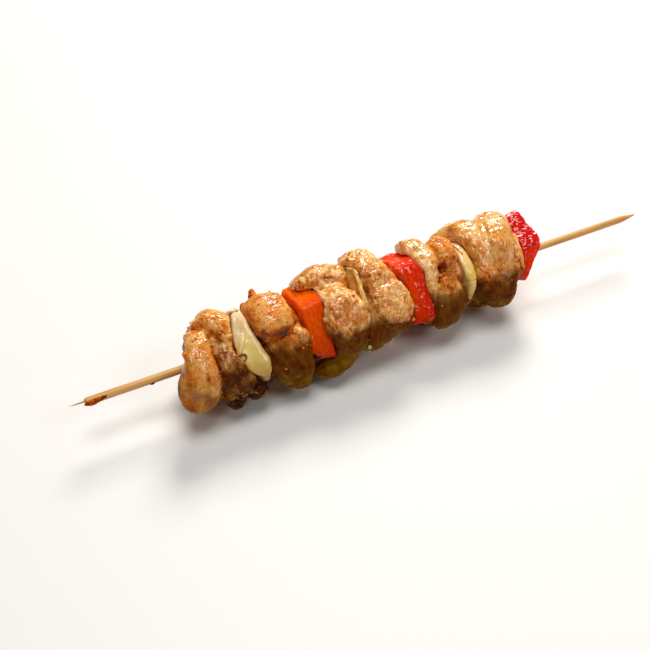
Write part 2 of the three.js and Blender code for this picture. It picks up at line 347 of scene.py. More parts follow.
def worked(mesh: Mesh, kind: str, *modifiers: dict[str, Any]) -> Mesh:
    """Applies modifiers to a mesh.

    Args:
        mesh: The mesh, which is removed.
        kind: The modifiers' type.
        modifiers: The settings of each.

    Returns:
        The mesh after them.
    """
    thing = thing_of("work", mesh)
    for settings in modifiers:
        modifier = thing.modifiers.new(kind.lower(), kind)
        for name, value in settings.items():
            setattr(modifier, name, value)
    graph = bpy.context.evaluated_depsgraph_get()
    result = bpy.data.meshes.new_from_object(thing.evaluated_get(graph))
    bpy.data.objects.remove(thing)
    bpy.data.meshes.remove(mesh)
    return result


def remeshed(mesh: Mesh) -> Mesh:
    """One even skin round everything in a mesh."""
    return worked(mesh, "REMESH", {"mode": "VOXEL", "voxel_size": VOXEL, "adaptivity": 0.0})


def carved(mesh: Mesh, cutters: Iterable[Mesh]) -> Mesh:
    """Takes the room of closed cutters out of a mesh.

    Args:
        mesh: The mesh, which is removed.
        cutters: The meshes that fill the room.

    Returns:
        What is left of it.
    """
    tools = [thing_of("tool", cutter) for cutter in cutters]
    cut = {"operation": "DIFFERENCE", "solver": "MANIFOLD"}
    result = worked(mesh, "BOOLEAN", *(cut | {"object": tool} for tool in tools))
    for tool in tools:
        bpy.data.objects.remove(tool)
    return result


def largest_part(mesh: Mesh) -> Mesh:
    """Drops the loose scraps beside a mesh's largest part.

    Args:
        mesh: The mesh, which is removed.

    Returns:
        The largest part.
    """
    work = bmesh.new()
    work.from_mesh(mesh)
    bpy.data.meshes.remove(mesh)
    left, best = set(work.verts), set()
    while left:
        front = {left.pop()}
        part = set(front)
        while front:
            front = {e.other_vert(v) for v in front for e in v.link_edges} - part
            part |= front
        left -= part
        best = max(best, part, key=len)
    bmesh.ops.delete(work, geom=[v for v in work.verts if v not in best], context="VERTS")
    return mesh_from(work)


class Web:
    """The edges of a mesh, over which values are averaged."""

    def __init__(self, mesh: Mesh) -> None:
        """Reads the edges of a mesh.

        Args:
            mesh: The mesh.
        """
        pairs = rows_of(mesh.edges, "vertices", 2, np.int32)
        self.near = np.concatenate([pairs[:, 0], pairs[:, 1]])
        self.far = np.concatenate([pairs[:, 1], pairs[:, 0]])
        self.count = len(mesh.vertices)
        self.links = np.maximum(np.bincount(self.near, minlength=self.count), 1)

    def blur(self, values: Rows, rounds: int) -> Rows:
        """Averages values with those of the neighbouring vertices.

        Args:
            values: One number or row for each vertex.
            rounds: How many times they are averaged.

        Returns:
            The new values.
        """
        columns = values.reshape(self.count, -1).T.copy()
        for _ in range(rounds):
            for i, column in enumerate(columns):
                mean = np.bincount(self.near, column[self.far], self.count) / self.links
                columns[i] = (column + mean) / 2
        return columns.T.reshape(values.shape)


def tree_of(mesh: Mesh) -> BVHTree:
    """A search tree over a mesh's faces.

    Args:
        mesh: The mesh.

    Returns:
        Its search tree.
    """
    work = bmesh.new()
    work.from_mesh(mesh)
    tree = BVHTree.FromBMesh(work)
    work.free()
    return tree


DEEPEST = 2.5  # how far into a neighbour a point is found
WIDEST_GAP = 2.0  # the largest gap that is told apart


def kept_off(points: Rows, neighbours: Iterable[BVHTree]) -> Rows:
    """Moves points out of the closed solids beside them.

    Args:
        points: The places of a piece's vertices.
        neighbours: The search trees of the solids.

    Returns:
        The new places.
    """
    moved = points.copy()
    for tree in neighbours:
        for i, point in enumerate(moved.tolist()):
            spot, normal, _, _ = tree.find_nearest(point, DEEPEST)
            if spot is None:
                continue
            depth = CLEARANCE - (Vector(point) - spot).dot(normal)
            if depth > 0:
                moved[i] += np.array(normal) * depth
    return moved


def gap_to(points: Rows, neighbours: Iterable[BVHTree]) -> Rows:
    """Measures the gap between points and the nearest of some solids.

    Args:
        points: The places to measure from.
        neighbours: The search trees of the solids.

    Returns:
        The gaps, of WIDEST_GAP at most.
    """
    gaps = np.full(len(points), WIDEST_GAP)
    for tree in neighbours:
        found = (tree.find_nearest(point, WIDEST_GAP)[3] for point in points.tolist())
        gaps = np.minimum(gaps, [WIDEST_GAP if gap is None else gap for gap in found])
    return gaps


def write_layers(mesh: Mesh, layers: dict[str, Rows]) -> None:
    """Stores values for the vertices of a mesh.

    Args:
        mesh: The mesh.
        layers: By name, a number or a vector for each vertex.
    """
    for name, values in layers.items():
        kind, key = ("FLOAT_VECTOR", "vector") if values.ndim == 2 else ("FLOAT", "value")
        layer = mesh.attributes.new(name, kind, "POINT")
        layer.data.foreach_set(key, values.astype(np.float32).ravel())


# ---------------------------------------------------------------- shading


class Sheet:
    """A material's nodes."""

    def __init__(self, name: str) -> None:
        """Starts a material of this name.

        Args:
            name: The name.
        """
        self.material = bpy.data.materials.new(name)
        self.material.use_nodes = True
        self.tree = self.material.node_tree
        self.tree.nodes.clear()

    def node(self, kind: str, settings: dict[str, Any], inputs: dict[Any, Any]) -> bpy.types.Node:
        """Adds a node.

        Args:
            kind: Its type, after "ShaderNode".
            settings: Its properties, and "stops" for a ramp's places and colours.
            inputs: The values or links of its sockets, by name or number.

        Returns:
            The new node.
        """
        made = self.tree.nodes.new("ShaderNode" + kind)
        for name, value in settings.items():
            if name == "stops":
                elements = made.color_ramp.elements
                while len(elements) < len(value):
                    elements.new(1.0)
                for element, (at, colour) in zip(elements, value):
                    element.position, element.color = at, colour
            else:
                setattr(made, name, value)
        for key, value in inputs.items():
            if isinstance(value, Field):
                self.tree.links.new(value.socket, made.inputs[key])
            else:
                made.inputs[key].default_value = value
        return made

    def field(self, kind: str, output: Any, inputs: dict[Any, Any], **settings: Any) -> "Field":
        """A new node's output, as a value that Python works on."""
        return Field(self, self.node(kind, settings, inputs).outputs[output])

    def layer(self, name: str, output: str = "Fac") -> "Field":
        """A stored value of the mesh."""
        return self.field("Attribute", output, {}, attribute_name=name)

    def millimetres(self) -> "Field":
        """The place on the object, in millimetres."""
        return self.field("TexCoord", "Object", {}).scaled(1 / MM)

    def noise(self, at: "Field", size: float, detail: float = 2.0, rough: float = 0.5) -> "Field":
        """Perlin noise from 0 to 1.

        Args:
            at: Where to read it.
            size: How large its features are, in the units of `at`.
            detail: How many finer layers it has.
            rough: How strong those are.

        Returns:
            The noise.
        """
        inputs = {"Vector": at, "Scale": 1 / size, "Detail": detail, "Roughness": rough}
        return self.field("TexNoise", "Fac", inputs)

    def voronoi(self, at: "Field", size: float) -> "Field":
        """The distance to scattered cell middles, with cells of a size."""
        return self.field("TexVoronoi", "Distance", {"Vector": at, "Scale": 1 / size}, feature="F1")

    def mix(self, low: Any, high: Any, factor: Any, blend: str = "MIX") -> "Field":
        """A colour between two, each a value or a hex code.

        Args:
            low: The colour at a factor of 0.
            high: The colour at a factor of 1.
            factor: A value or a number.
            blend: How the second is laid over the first.

        Returns:
            The colour.
        """
        low, high = (paint(colour) if isinstance(colour, str) else colour for colour in (low, high))
        settings = {"data_type": "RGBA", "blend_type": blend, "clamp_factor": True}
        return self.field("Mix", 2, {0: factor, 6: low, 7: high}, **settings)

    def ramp(self, factor: "Field", shades: Sequence[tuple[float, str]]) -> "Field":
        """The colour at a place among hex codes, each with its place from 0 to 1."""
        stops = [(at, paint(code)) for at, code in shades]
        return self.field("ValToRGB", "Color", {"Fac": factor}, stops=stops)

    def bump(self, height: "Field", distance: float, strength: float = 1.0) -> "Field":
        """A normal from a height of 0 to 1 that stands for a distance in millimetres."""
        inputs = {"Height": height, "Distance": distance * MM, "Strength": strength}
        return self.field("Bump", "Normal", inputs)

    def skin(self, inputs: dict[str, Any]) -> Material:
        """Ends the material in a Principled surface with these sockets.

        Args:
            inputs: A number, a colour or a field for each socket.

        Returns:
            The material.
        """
        surface = self.field("BsdfPrincipled", "BSDF", inputs, subsurface_method="RANDOM_WALK")
        self.node("OutputMaterial", {}, {"Surface": surface})
        return self.material


def operator(operation: str, swapped: bool = False) -> Callable[["Field", Any], "Field"]:
    """A method that adds a Math node, with its two values swapped where that is asked."""

    def method(self: "Field", other: Any) -> "Field":
        """The Math node's value."""
        values = (other, self) if swapped else (self, other)
        return self.sheet.field("Math", 0, dict(enumerate(values)), operation=operation)

    return method


class Field:
    """A shader socket with Python's arithmetic."""

    def __init__(self, sheet: Sheet, socket: bpy.types.NodeSocket) -> None:
        """Wraps a socket of a sheet's nodes."""
        self.sheet, self.socket = sheet, socket

    __add__ = __radd__ = operator("ADD")
    __mul__ = __rmul__ = operator("MULTIPLY")
    __sub__, __rsub__ = operator("SUBTRACT"), operator("SUBTRACT", swapped=True)
    most, least = operator("MAXIMUM"), operator("MINIMUM")

    def fade(self, low: float, high: float) -> "Field":
        """A smooth step, 0 at low and 1 at high.

        Args:
            low: The value at which it leaves 0.
            high: The value at which it reaches 1.

        Returns:
            The step as a field.
        """
        start, end = (0.0, 1.0) if low < high else (1.0, 0.0)
        inputs = {"Value": self, "From Min": min(low, high), "From Max": max(low, high)}
        inputs |= {"To Min": start, "To Max": end}
        return self.sheet.field("MapRange", "Result", inputs, interpolation_type="SMOOTHSTEP")

    def scaled(self, factor: float) -> "Field":
        """A vector times a number."""
        return self.sheet.field("VectorMath", 0, {0: self, "Scale": factor}, operation="SCALE")

    def drawn(self, *sizes: float) -> "Field":
        """A vector over three sizes, to draw a pattern out by."""
        inputs = {0: self, 1: tuple(1 / size for size in sizes)}
        return self.sheet.field("VectorMath", 0, inputs, operation="MULTIPLY")

    def part(self, axis: str) -> "Field":
        """One of a vector's X, Y and Z."""
        return self.sheet.field("SeparateXYZ", axis, {0: self})

    def under(self, colour: Any, factor: Any, blend: str = "MIX") -> "Field":
        """This colour with another one laid over it."""
        return self.sheet.mix(self, colour, factor, blend)


FLESH_SCATTER = (1.0, 0.38, 0.2)  # how far red, green and blue go in meat, as shares


# ---------------------------------------------------------------- meat


@dataclass(frozen=True)
class Cooking:
    """How a stretch of flesh has cooked. Each number is from 0 to about 1.

    The first six are its colours, of which the sixth is painted shade that darkens flesh low
    down. `wet` is how juicy it is, `crust` how far its surface has dried into granules, and
    `fibre` how far its grain shows.
    """

    pale: float = 0.0
    gold: float = 0.0
    browned: float = 0.0
    dusky: float = 0.0
    char: float = 0.0
    steeped: float = 0.0
    wet: float = 0.4
    crust: float = 0.3
    fibre: float = 0.3


class Flesh(Enum):
    """The kinds of flesh on the kebab."""

    SILKY = Cooking(pale=0.45, gold=0.3, browned=0.3, steeped=0.45, crust=0.12, fibre=0.3, wet=0.65)
    BUBBLY = Cooking(pale=0.45, gold=0.55, browned=0.12, steeped=0.7, crust=0.6, fibre=0.1, wet=0.6)
    DUSKY = Cooking(pale=0.3, browned=0.25, dusky=0.85, steeped=0.6, crust=0.45, fibre=0.4, wet=0.5)
    SEARED = Cooking(browned=0.75, dusky=0.3, char=0.5, steeped=0.6, crust=0.55, fibre=0.3, wet=0.3)
    DOME = Cooking(pale=0.15, gold=0.8, steeped=0.7, crust=0.0, fibre=0.45, wet=0.45)
    FAN = Cooking(pale=0.4, gold=0.35, browned=0.3, steeped=1.0, crust=0.2, fibre=0.7, wet=0.35)
    CURD = Cooking(pale=1.0, steeped=0.2, crust=0.4, fibre=0.1, wet=1.0)
    CRISP = Cooking(gold=0.2, browned=0.8, crust=0.5)
    FOAM = Cooking(pale=0.6, gold=0.5, browned=0.1, steeped=1.0, crust=1.0, fibre=0.1, wet=0.65)
    SLICE = Cooking(pale=0.6, browned=0.1, dusky=0.34, steeped=0.8, crust=0.0, fibre=0.25, wet=0.7)
    GLAZED = Cooking(pale=0.75, gold=0.4, browned=0.16, steeped=0.9, crust=0.25, wet=1.1)
    FACET = Cooking(pale=0.6, gold=0.35, browned=0.25, steeped=0.8, crust=0.15, fibre=0.6, wet=0.5)
    TOASTED = Cooking(pale=0.35, gold=0.55, browned=0.3, steeped=1.0, crust=0.6, fibre=0.2, wet=0.5)
    BACK = Cooking(pale=0.4, gold=0.5, browned=0.35, steeped=0.4, crust=0.45, fibre=0.5, wet=0.5)


COOKED = tuple(Cooking.__dataclass_fields__)
PATH_STEP = 0.01  # between the places that tell which way a path runs
PATH_STOPS = 21  # places that are tried to find the nearest part of a path
GRAIN_SHIFT = 31.0  # of the fibres' pattern from one bundle to the next
FLESH_BLEND = 9  # how sharply one bundle's flesh gives way to the next one's
SEAM_BLEND = 14  # how narrow the seam between two bundles is
EVENED = 4  # how many times a new skin is averaged
PRESSED = 24  # the same, where a neighbour presses on it
HOLLOWS = (("hollow", 60), ("pit", 6))  # wide and narrow ones, by the rounds that fill them
FIBRES = ((1, 1.0, (15, 3.6, 3.6)), (2, 0.75, (10, 1.6, 1.6)))  # seeds, heights and sizes
FIBRE_LEVEL = 0.18  # the share of a fibre's height that stands below the skin
GRANULES = ((0, 0.8, 2.6, 0.22), (5, 0.35, 1.3, 0.2))  # seeds, heights, sizes and brims
LOW_SHADE_LINE = (-12.5, -3.5)  # depths under the axis at which the painted shade of low flesh begins and is full


@dataclass
class Track:
    """A bundle's path at some of its places: its middle, the ways along, across and out of
    it, its girth there, and how far along it each place is."""

    middle: Rows
    along: Rows
    side: Rows
    out: Rows
    girth: Rows
    run: Rows


@dataclass
class Bundle:
    """One bundle of muscle: a blunt sausage that follows a path of places round the stick,
    [x, radius, angle, girth], `wide` across and `deep` towards the stick. `blunt` and `boxy`
    are the powers of the superellipses along it and across it."""

    path: Sequence[Stop]
    wide: float
    deep: float
    flesh: Flesh = Flesh.TOASTED
    fineness: int = 5
    relief: float | None = None
    blunt: float = 2.8
    boxy: float = 2.8

    def track(self, t: Rows) -> Track:
        """Follows the path.

        Args:
            t: Places on it, from 0 to 1.

        Returns:
            The path at those places.
        """
        stops = np.array([(*stop, 1.0)[:4] for stop in self.path])
        here = spline(stops, t)
        middle = place(here)
        ahead = place(spline(stops, np.minimum(t + PATH_STEP, 1)))
        along = unit(ahead - place(spline(stops, np.maximum(t - PATH_STEP, 0))))
        out = outward(here[:, 2])
        out = unit(out - along * np.sum(out * along, axis=1, keepdims=True))
        steps = np.linalg.norm(np.diff(middle, axis=0), axis=1)
        run = np.concatenate([[0.0], np.cumsum(steps)])
        return Track(middle, along, np.cross(out, along), out, here[:, 3], run)

    def mesh(self, seed: float, relief: float) -> Mesh:
        """The bundle as a closed mesh.

        Args:
            seed: Moves its lumps.
            relief: How far the lumps stand out, in millimetres, unless it has its own.

        Returns:
            A new mesh.
        """
        mesh = ball(self.fineness)
        x, y, z = points_of(mesh).T
        track = self.track((x + 1) / 2)
        reach = np.maximum(0, 1 - np.abs(x) ** self.blunt) ** (1 / self.blunt)
        turn = np.arctan2(z, y)
        across, up = np.cos(turn), np.sin(turn)
        box = reach / (np.abs(across) ** self.boxy + np.abs(up) ** self.boxy) ** (1 / self.boxy)
        girth = track.girth * box
        skin = track.side * (across * self.wide * girth)[:, None]
        skin += track.out * (up * self.deep * girth)[:, None]
        body = track.middle + skin
        height = relief if self.relief is None else self.relief
        body += unit(skin) * (height * lumps(body, seed) * reach)[:, None]
        move_points(mesh, body)
        return mesh

    def within(self, points: Rows) -> tuple[Rows, Rows]:
        """Where points lie in the bundle.

        Args:
            points: The places, outside or inside it.

        Returns:
            How far each point is from the path, 1 being the bundle's skin, and its place
            along, across and out of the bundle, in millimetres.
        """
        track = self.track(np.linspace(0, 1, PATH_STOPS))
        offset = points[:, None].astype(np.float32) - track.middle[None].astype(np.float32)
        across, up, ahead = (
            np.einsum("nmk,mk->nm", offset, way) for way in (track.side, track.out, track.along)
        )
        wide, deep = self.wide * track.girth, self.deep * track.girth
        span = (self.wide + self.deep) / 2
        far = (across / wide) ** 2 + (up / deep) ** 2 + (ahead / span) ** 2
        best = np.argmin(far, axis=1)
        row = np.arange(len(points))
        slim = track.girth[best]
        place_in = (track.run[best] + ahead[row, best], across[row, best] / slim, up[row, best] / slim)
        return np.sqrt(far[row, best]), np.stack(place_in, axis=1)


def nub(x: float, radius: float, angle: float, size: float) -> Bundle:
    """A small crisp lump at [x, radius, angle]."""
    ends = [(x - 0.3 * size, radius, angle), (x + 0.3 * size, radius, angle)]
    return Bundle(ends, size, size * 0.85, Flesh.CRISP, 3, 0.1)


@dataclass(frozen=True)
class Patch:
    """A spot on the food round [x, angle], with its half lengths along and around the stick
    in millimetres, turned by `slant` degrees. It colours the food by its strength, and can
    lift it by some millimetres. Its edge is `ragged` by a share of its size."""

    x: float
    angle: float
    along: float
    around: float
    strength: float = 1.0
    lift: float = 0.0
    slant: float = 0.0
    ragged: float = 0.35

    def cover(self, points: Rows) -> Rows:
        """How far points are in the patch.

        Args:
            points: The points.

        Returns:
            1 for a point at its middle, and 0 for one outside it.
        """
        radius = np.hypot(points[:, 1], points[:, 2])
        turn = np.degrees(np.arctan2(-points[:, 1], points[:, 2])) - self.angle
        turn = np.radians((turn + 180) % 360 - 180)
        tilt = math.radians(self.slant)
        ahead, round_ = points[:, 0] - self.x, turn * radius
        along = ahead * math.cos(tilt) + round_ * math.sin(tilt)
        around = round_ * math.cos(tilt) - ahead * math.sin(tilt)
        reach = np.hypot(along / self.along, around / self.around)
        close = reach < 1.6
        reach[close] += self.ragged * grain(points[close], 1.6, self.x, 2)
        return 1 - fade(reach, 0.35, 1.0)


@dataclass
class Chunk:
    """A chunk of chicken. The stick runs through its core, a round bundle from one x to
    another with a radius. Its patches are grouped by the colour that they add, and `soft` is
    how many times its skin is averaged."""

    node: str
    seed: float
    core: Spot
    bundles: list[Bundle]
    patches: dict[str, list[Stop]]
    soft: int
    relief: float = 0.55

    def parts(self) -> list[Bundle]:
        """The core and the bundles round it."""
        low, high, radius = self.core
        return [Bundle([(low, 0, 0), (high, 0, 0)], radius, radius), *self.bundles]

    def reach(self) -> tuple[float, float]:
        """The lowest and the highest x that its bundles may reach."""
        ends = [(stop[0], bundle.wide) for bundle in self.parts() for stop in bundle.path]
        return min(x - wide for x, wide in ends), max(x + wide for x, wide in ends)

    def blank(self) -> Mesh:
        """Its bundles grown together in one skin, soft but for the smallest.

        Returns:
            The skin, before it is cut and pressed.
        """
        grown = [bundle.mesh(self.seed + i, self.relief) for i, bundle in enumerate(self.parts())]
        mesh = remeshed(joined(grown))
        web = Web(mesh)
        crisp = web.blur(points_of(mesh), 3)
        near = np.full(len(crisp), 9.0)
        for bundle in self.bundles:
            if bundle.wide < SMALL:
                near = np.minimum(near, bundle.within(crisp)[0])
        keep = web.blur(1 - fade(near, 1.1, 1.5), 4)[:, None]
        move_points(mesh, crisp * keep + web.blur(crisp, self.soft) * (1 - keep))
        return mesh

    def build(self, cutters: Sequence[Mesh], neighbours: Sequence[BVHTree]) -> Mesh:
        """The chunk as one skin with all its relief and the values its finish reads.

        Args:
            cutters: Closed meshes that take room from it.
            neighbours: Search trees of the finished pieces beside it.

        Returns:
            A new mesh, in millimetres round the stick.
        """
        mesh = remeshed(largest_part(carved(self.blank(), cutters)))
        web = Web(mesh)
        crisp = web.blur(points_of(mesh), EVENED)
        pressed = web.blur(1 - fade(gap_to(crisp, neighbours), 0.2, WIDEST_GAP), 6)[:, None]
        move_points(mesh, crisp * (1 - pressed) + web.blur(crisp, PRESSED) * pressed)
        points = points_of(mesh)
        layers, relief = self.look(points)
        normals = unit(web.blur(points_of(mesh, "normal"), 3))
        points = kept_off(points + normals * relief[:, None], neighbours)
        points[:, 2] = np.maximum(points[:, 2], -FLOOR_DEPTH)
        move_points(mesh, points)
        facing = points_of(mesh, "normal")
        for name, rounds in HOLLOWS:
            layers[name] = np.sum((web.blur(points, rounds) - points) * facing, axis=1)
        write_layers(mesh, layers)
        return mesh

    def look(self, points: Rows) -> tuple[dict[str, Rows], Rows]:
        """The colour values and the relief of places on the skin.

        Args:
            points: The places.

        Returns:
            The values by name, and how far each place is lifted, in millimetres.
        """
        found = zip(*(bundle.within(points) for bundle in self.bundles))
        far, spots = (np.array(rows) for rows in found)
        order = np.argsort(far, axis=0)
        row = np.arange(len(points))
        first = order[0]
        spot = spots[first, row]
        spot[:, 0] += first * GRAIN_SHIFT
        weight = np.exp(-FLESH_BLEND * (far - far.min(axis=0)))
        weight /= weight.sum(axis=0)
        kinds = list(zip(weight, (bundle.flesh.value for bundle in self.bundles)))
        values = {name: sum(w * getattr(kind, name) for w, kind in kinds) for name in COOKED}
        lift = np.zeros(len(points))
        for colour, rows in self.patches.items():
            for patch in (Patch(*numbers) for numbers in rows):
                cover = patch.cover(points)
                lift += patch.lift * cover
                values[colour] = values[colour] * (1 - cover) + patch.strength * cover
        crust, fibre, seed = values["crust"], values["fibre"], self.seed
        seam = np.exp(-SEAM_BLEND * (far[order[1], row] - far[first, row]))
        drift = np.stack([grain(points, 2.6, seed + i, 2) for i in (11, 12, 13)], axis=1)
        bent = points + 0.7 * drift
        weave = spot + 0.5 * drift
        strands = sum(h * (np.abs(grain(weave, size, seed + i)) - FIBRE_LEVEL) for i, h, size in FIBRES)
        strands += 0.3 * grain(weave, (6, 0.8, 0.8), seed + 3)
        grains = sum(h * (brim - cells(bent, size, seed + i) ** 2) for i, h, size, brim in GRANULES)
        rough = fade(grain(points, 5.0, seed + 7), -0.45, 0.3)
        lift += 0.42 * grain(points, 6.0, seed, 2) + strands * fibre + 0.1 * grain(bent, 1.2, seed + 4, 3)
        dried = grains * crust * (0.2 + 0.8 * rough) + 0.6 * crust * grain(bent, 4.2, seed + 9, 2)
        lift += dried - 0.25 * seam
        # Painted shade: the lower the flesh, the more of this shade it takes.
        values["steeped"] = values["steeped"] * fade(-points[:, 2], *LOW_SHADE_LINE)
        return values | {"spot": spot, "seam": seam}, lift


@dataclass(frozen=True)
class MeatFinish:
    """Chicken browned on a grill. `shades` go from pale flesh through gold to nearly burnt, by
    how much the surface has browned. Painted shade darkens its hollows, the seams between its
    bundles and its lower parts, which also take an olive tint of painted bounce light."""

    shades: tuple[tuple[float, str], ...] = (
        (0.0, "#f6ca90"), (0.2, "#e7a95c"), (0.4, "#d78a34"),
        (0.58, "#cc6714"), (0.75, "#9c420f"), (1.0, "#45180a"),
    )
    dusky: str = "#8a6450"
    char: str = "#241008"
    # painted shade, multiplied over flesh that lies low
    juice: str = "#7b642a"
    # painted bounce light: the olive that the lowest of that shade turns to
    oil: str = "#8f9c28"
    # ground spice, and also the painted shade of the seams between bundles
    spice: str = "#5a2410"

    def material(self) -> Material:
        """The finish as a material.

        Returns:
            The material.
        """
        sheet = Sheet("grilled_chicken")
        at, spot = sheet.millimetres(), sheet.layer("spot", "Vector")
        pale, gold, browned, dusky, char, steeped, wet, crust, fibre = (sheet.layer(name) for name in COOKED)
        hollow, pit, seam = (sheet.layer(name) for name in ("hollow", "pit", "seam"))
        broad = sheet.noise(at, 6.0, 2).fade(0.34, 0.66) - 0.5
        mottle = sheet.noise(at, 2.2, 3, 0.6).fade(0.34, 0.66) - 0.5
        fine = sheet.noise(at, 0.75, 3, 0.65).fade(0.3, 0.7) - 0.5
        streak = sheet.noise(spot.drawn(8, 0.7, 0.7), 1.0, 3).fade(0.32, 0.68) - 0.5
        strand = sheet.noise(spot.drawn(14, 2.4, 2.4), 1.0, 2).fade(0.32, 0.68) - 0.5
        cook = 0.26 + gold * 0.2 + browned * 0.46 - pale * 0.2 + broad * 0.26
        cook = cook + mottle * (0.14 + crust * 0.25) + fine * 0.2
        cook = cook + (streak * 0.26 + strand * 0.16) * fibre
        # Pits are browner, partly for spice that settles there and partly as painted shade; hollows are
        # browner as painted shade.
        cook = cook + pit.fade(-0.09, 0.11) * crust * 0.3 - crust * 0.13
        cook = cook + hollow.fade(0.2, 1.0) * 0.14 + pit.fade(0.03, 0.16) * 0.12
        dots = sheet.voronoi(at, 1.5).fade(0.2, 0.12) * sheet.noise(at, 5.0, 1).fade(0.48, 0.62)
        # The painted shade of low flesh, turning olive with painted bounce light towards the bottom.
        low = sheet.mix(self.juice, self.oil, at.part("Z").fade(19, 10))
        tone = (
            sheet.ramp(cook, self.shades)
            .under(self.dusky, (dusky + mottle * 0.5 + streak * 0.3).fade(0.25, 0.95) * 0.75, "MULTIPLY")
            .under(self.spice, dots * (1 - steeped) * 0.7)
            # painted shade over low flesh
            .under(low, (steeped + broad * 0.3).fade(0.1, 0.9), "MULTIPLY")
            # painted shade in the hollow seams between bundles
            .under(self.spice, seam * hollow.fade(0.1, 0.7) * 0.3)
            .under(self.char, (char + mottle * 0.6 + fine * 0.3).fade(0.35, 0.95) * 0.9)
        )
        gloss = (wet + broad * 0.5 + mottle * 0.5 + fine * 0.3 - steeped * 0.9 - char * 0.4).fade(0.2, 0.8)
        gloss = gloss * (0.1 + at.part("Z").fade(8, 22) * 0.9)
        height = sheet.noise(at, 1.1, 4, 0.55) + streak * fibre * 0.3 + sheet.voronoi(at, 0.9) * crust * 0.5
        return sheet.skin({
            "Base Color": tone,
            "Roughness": 0.55 - gloss * 0.15,
            "Specular IOR Level": 0.05,
            "Coat Weight": gloss,
            "Coat Roughness": 0.075,
            "IOR": 1.42,
            "Subsurface Weight": 0.6,
            "Subsurface Radius": FLESH_SCATTER,
            "Subsurface Scale": 1.8 * MM,
            "Normal": sheet.bump(height, 0.22),
        })


# ---------------------------------------------------------------- vegetables


@dataclass
class Square:
    """A square of vegetable wall across the stick. Its four corners are [radius, angle,
    shift along x, share of the wall] in order round the stick, and `squareness` is the power
    of the superellipse that rounds them. The middle stands out by `bow` towards +X, one
    number each way across, the +X side is larger by `flare`, the edges are drawn in by
    `waist`, and it leans by `lean`. `belly` is the share of a wall that the middle of its
    first side is thicker by, most of all near its second corner."""

    node: str
    x: float
    corners: Sequence[Stop]
    bow: tuple[float, float]
    seed: float
    burns: Sequence[Stop]
    wall: float = PEPPER_WALL
    squareness: float = 7.0
    flare: float = 0.0
    waist: float = 0.0
    lean: float = 0.0
    belly: float = 0.0
    folds: Sequence[Stop] = ()
    edge: float = 0.8
    steps: int = 60
    wrinkle: float = 0.35

    def shape(self, cube: Rows) -> Rows:
        """Bends a cube into the square.

        Args:
            cube: Points of a cube from -1 to 1.

        Returns:
            The places that they take.
        """
        u, v, w = cube.T
        largest = np.maximum(np.abs(v), np.abs(w))
        norm = (np.abs(v) ** self.squareness + np.abs(w) ** self.squareness) ** (1 / self.squareness)
        rounded = np.where(norm > 1e-6, largest / np.maximum(norm, 1e-6), 1.0)
        s, t = ((side * rounded + 1)[:, None] / 2 for side in (v, w))
        extras = np.array([(*corner, 0.0, 1.0)[2:4] for corner in self.corners])
        a, b, c, d = np.hstack([self.corner_points(), extras])
        mixed = (a * (1 - s) + b * s) * (1 - t) + (d * (1 - s) + c * s) * t
        spot, shift, share = mixed[:, :3], mixed[:, 3], mixed[:, 4]
        pinch = self.waist * largest * (1 - v * v * w * w)
        spread = (1 + (u - 1) * 0.5 * self.flare) * (1 - pinch)
        share = share + self.belly * (1 - v * v) * (1 + v) * (1 - w) * 0.4
        bulge = self.bow[0] * (1 - v * v) + self.bow[1] * (1 - w * w)
        wrinkle = self.wrinkle * lumps(spot, self.seed)
        x = self.x + shift + u * share * self.wall / 2 + bulge + wrinkle + self.lean * spot[:, 2]
        return np.stack([x, spot[:, 1] * spread, spot[:, 2] * spread], axis=1)

    def corner_points(self) -> Rows:
        """The corners' places across the stick."""
        return place(np.array([(0.0, *corner[:2]) for corner in self.corners]))

    def softened(self, cube: Rows) -> Rows:
        """Rounds a cube's edges by `edge` millimetres of the square.

        Args:
            cube: Points of a cube from -1 to 1.

        Returns:
            The points drawn in.
        """
        corners = self.corner_points()
        width = float(np.mean(np.linalg.norm(corners - np.roll(corners, 1, axis=0), axis=1)))
        half = np.array([self.wall / 2, width / 2, width / 2])
        inner = np.clip(cube * half, -(half - self.edge), half - self.edge)
        return (inner + unit(cube * half - inner) * self.edge) / half

    def cutter(self) -> Mesh:
        """The square with sharp edges and some room round it, to cut its neighbours by.

        Returns:
            The closed mesh that is cut away.
        """
        mesh = block(24)
        move_points(mesh, self.shape(points_of(mesh)))
        move_points(mesh, points_of(mesh) + points_of(mesh, "normal") * CLEARANCE * math.sqrt(2))
        return mesh

    def relief(self, points: Rows, cube: Rows) -> Rows:
        """How far its surface stands out, in millimetres."""
        raise NotImplementedError

    def layers(self, cube: Rows) -> dict[str, Rows]:
        """The values that its finish reads, by name, besides the cube and the burns."""
        raise NotImplementedError

    def build(self) -> Mesh:
        """The square with soft edges, its relief and the values its finish reads.

        Returns:
            The finished mesh.
        """
        mesh = block(self.steps)
        cube = self.softened(points_of(mesh))
        move_points(mesh, self.shape(cube))
        points, normals = points_of(mesh), points_of(mesh, "normal")
        folds = [Patch(*numbers) for numbers in self.folds]
        lift = self.relief(points, cube) + sum(fold.lift * fold.cover(points) for fold in folds)
        points += normals * lift[:, None]
        points[:, 2] = np.maximum(points[:, 2], -FLOOR_DEPTH)
        move_points(mesh, points)
        points = points_of(mesh)
        burn = np.zeros(len(points))
        for patch in (Patch(*numbers) for numbers in self.burns):
            burn += patch.cover(points) * patch.strength
        cube = cube.astype(np.float32)
        write_layers(mesh, {"cube": cube, "burn": np.clip(burn, 0, 1)} | self.layers(cube))
        return mesh


class SkinSide(Enum):
    """Which way a pepper square's outer skin faces: the axis of its cube and the way."""

    ALONG = (0, 1.0)
    UP = (2, -1.0)


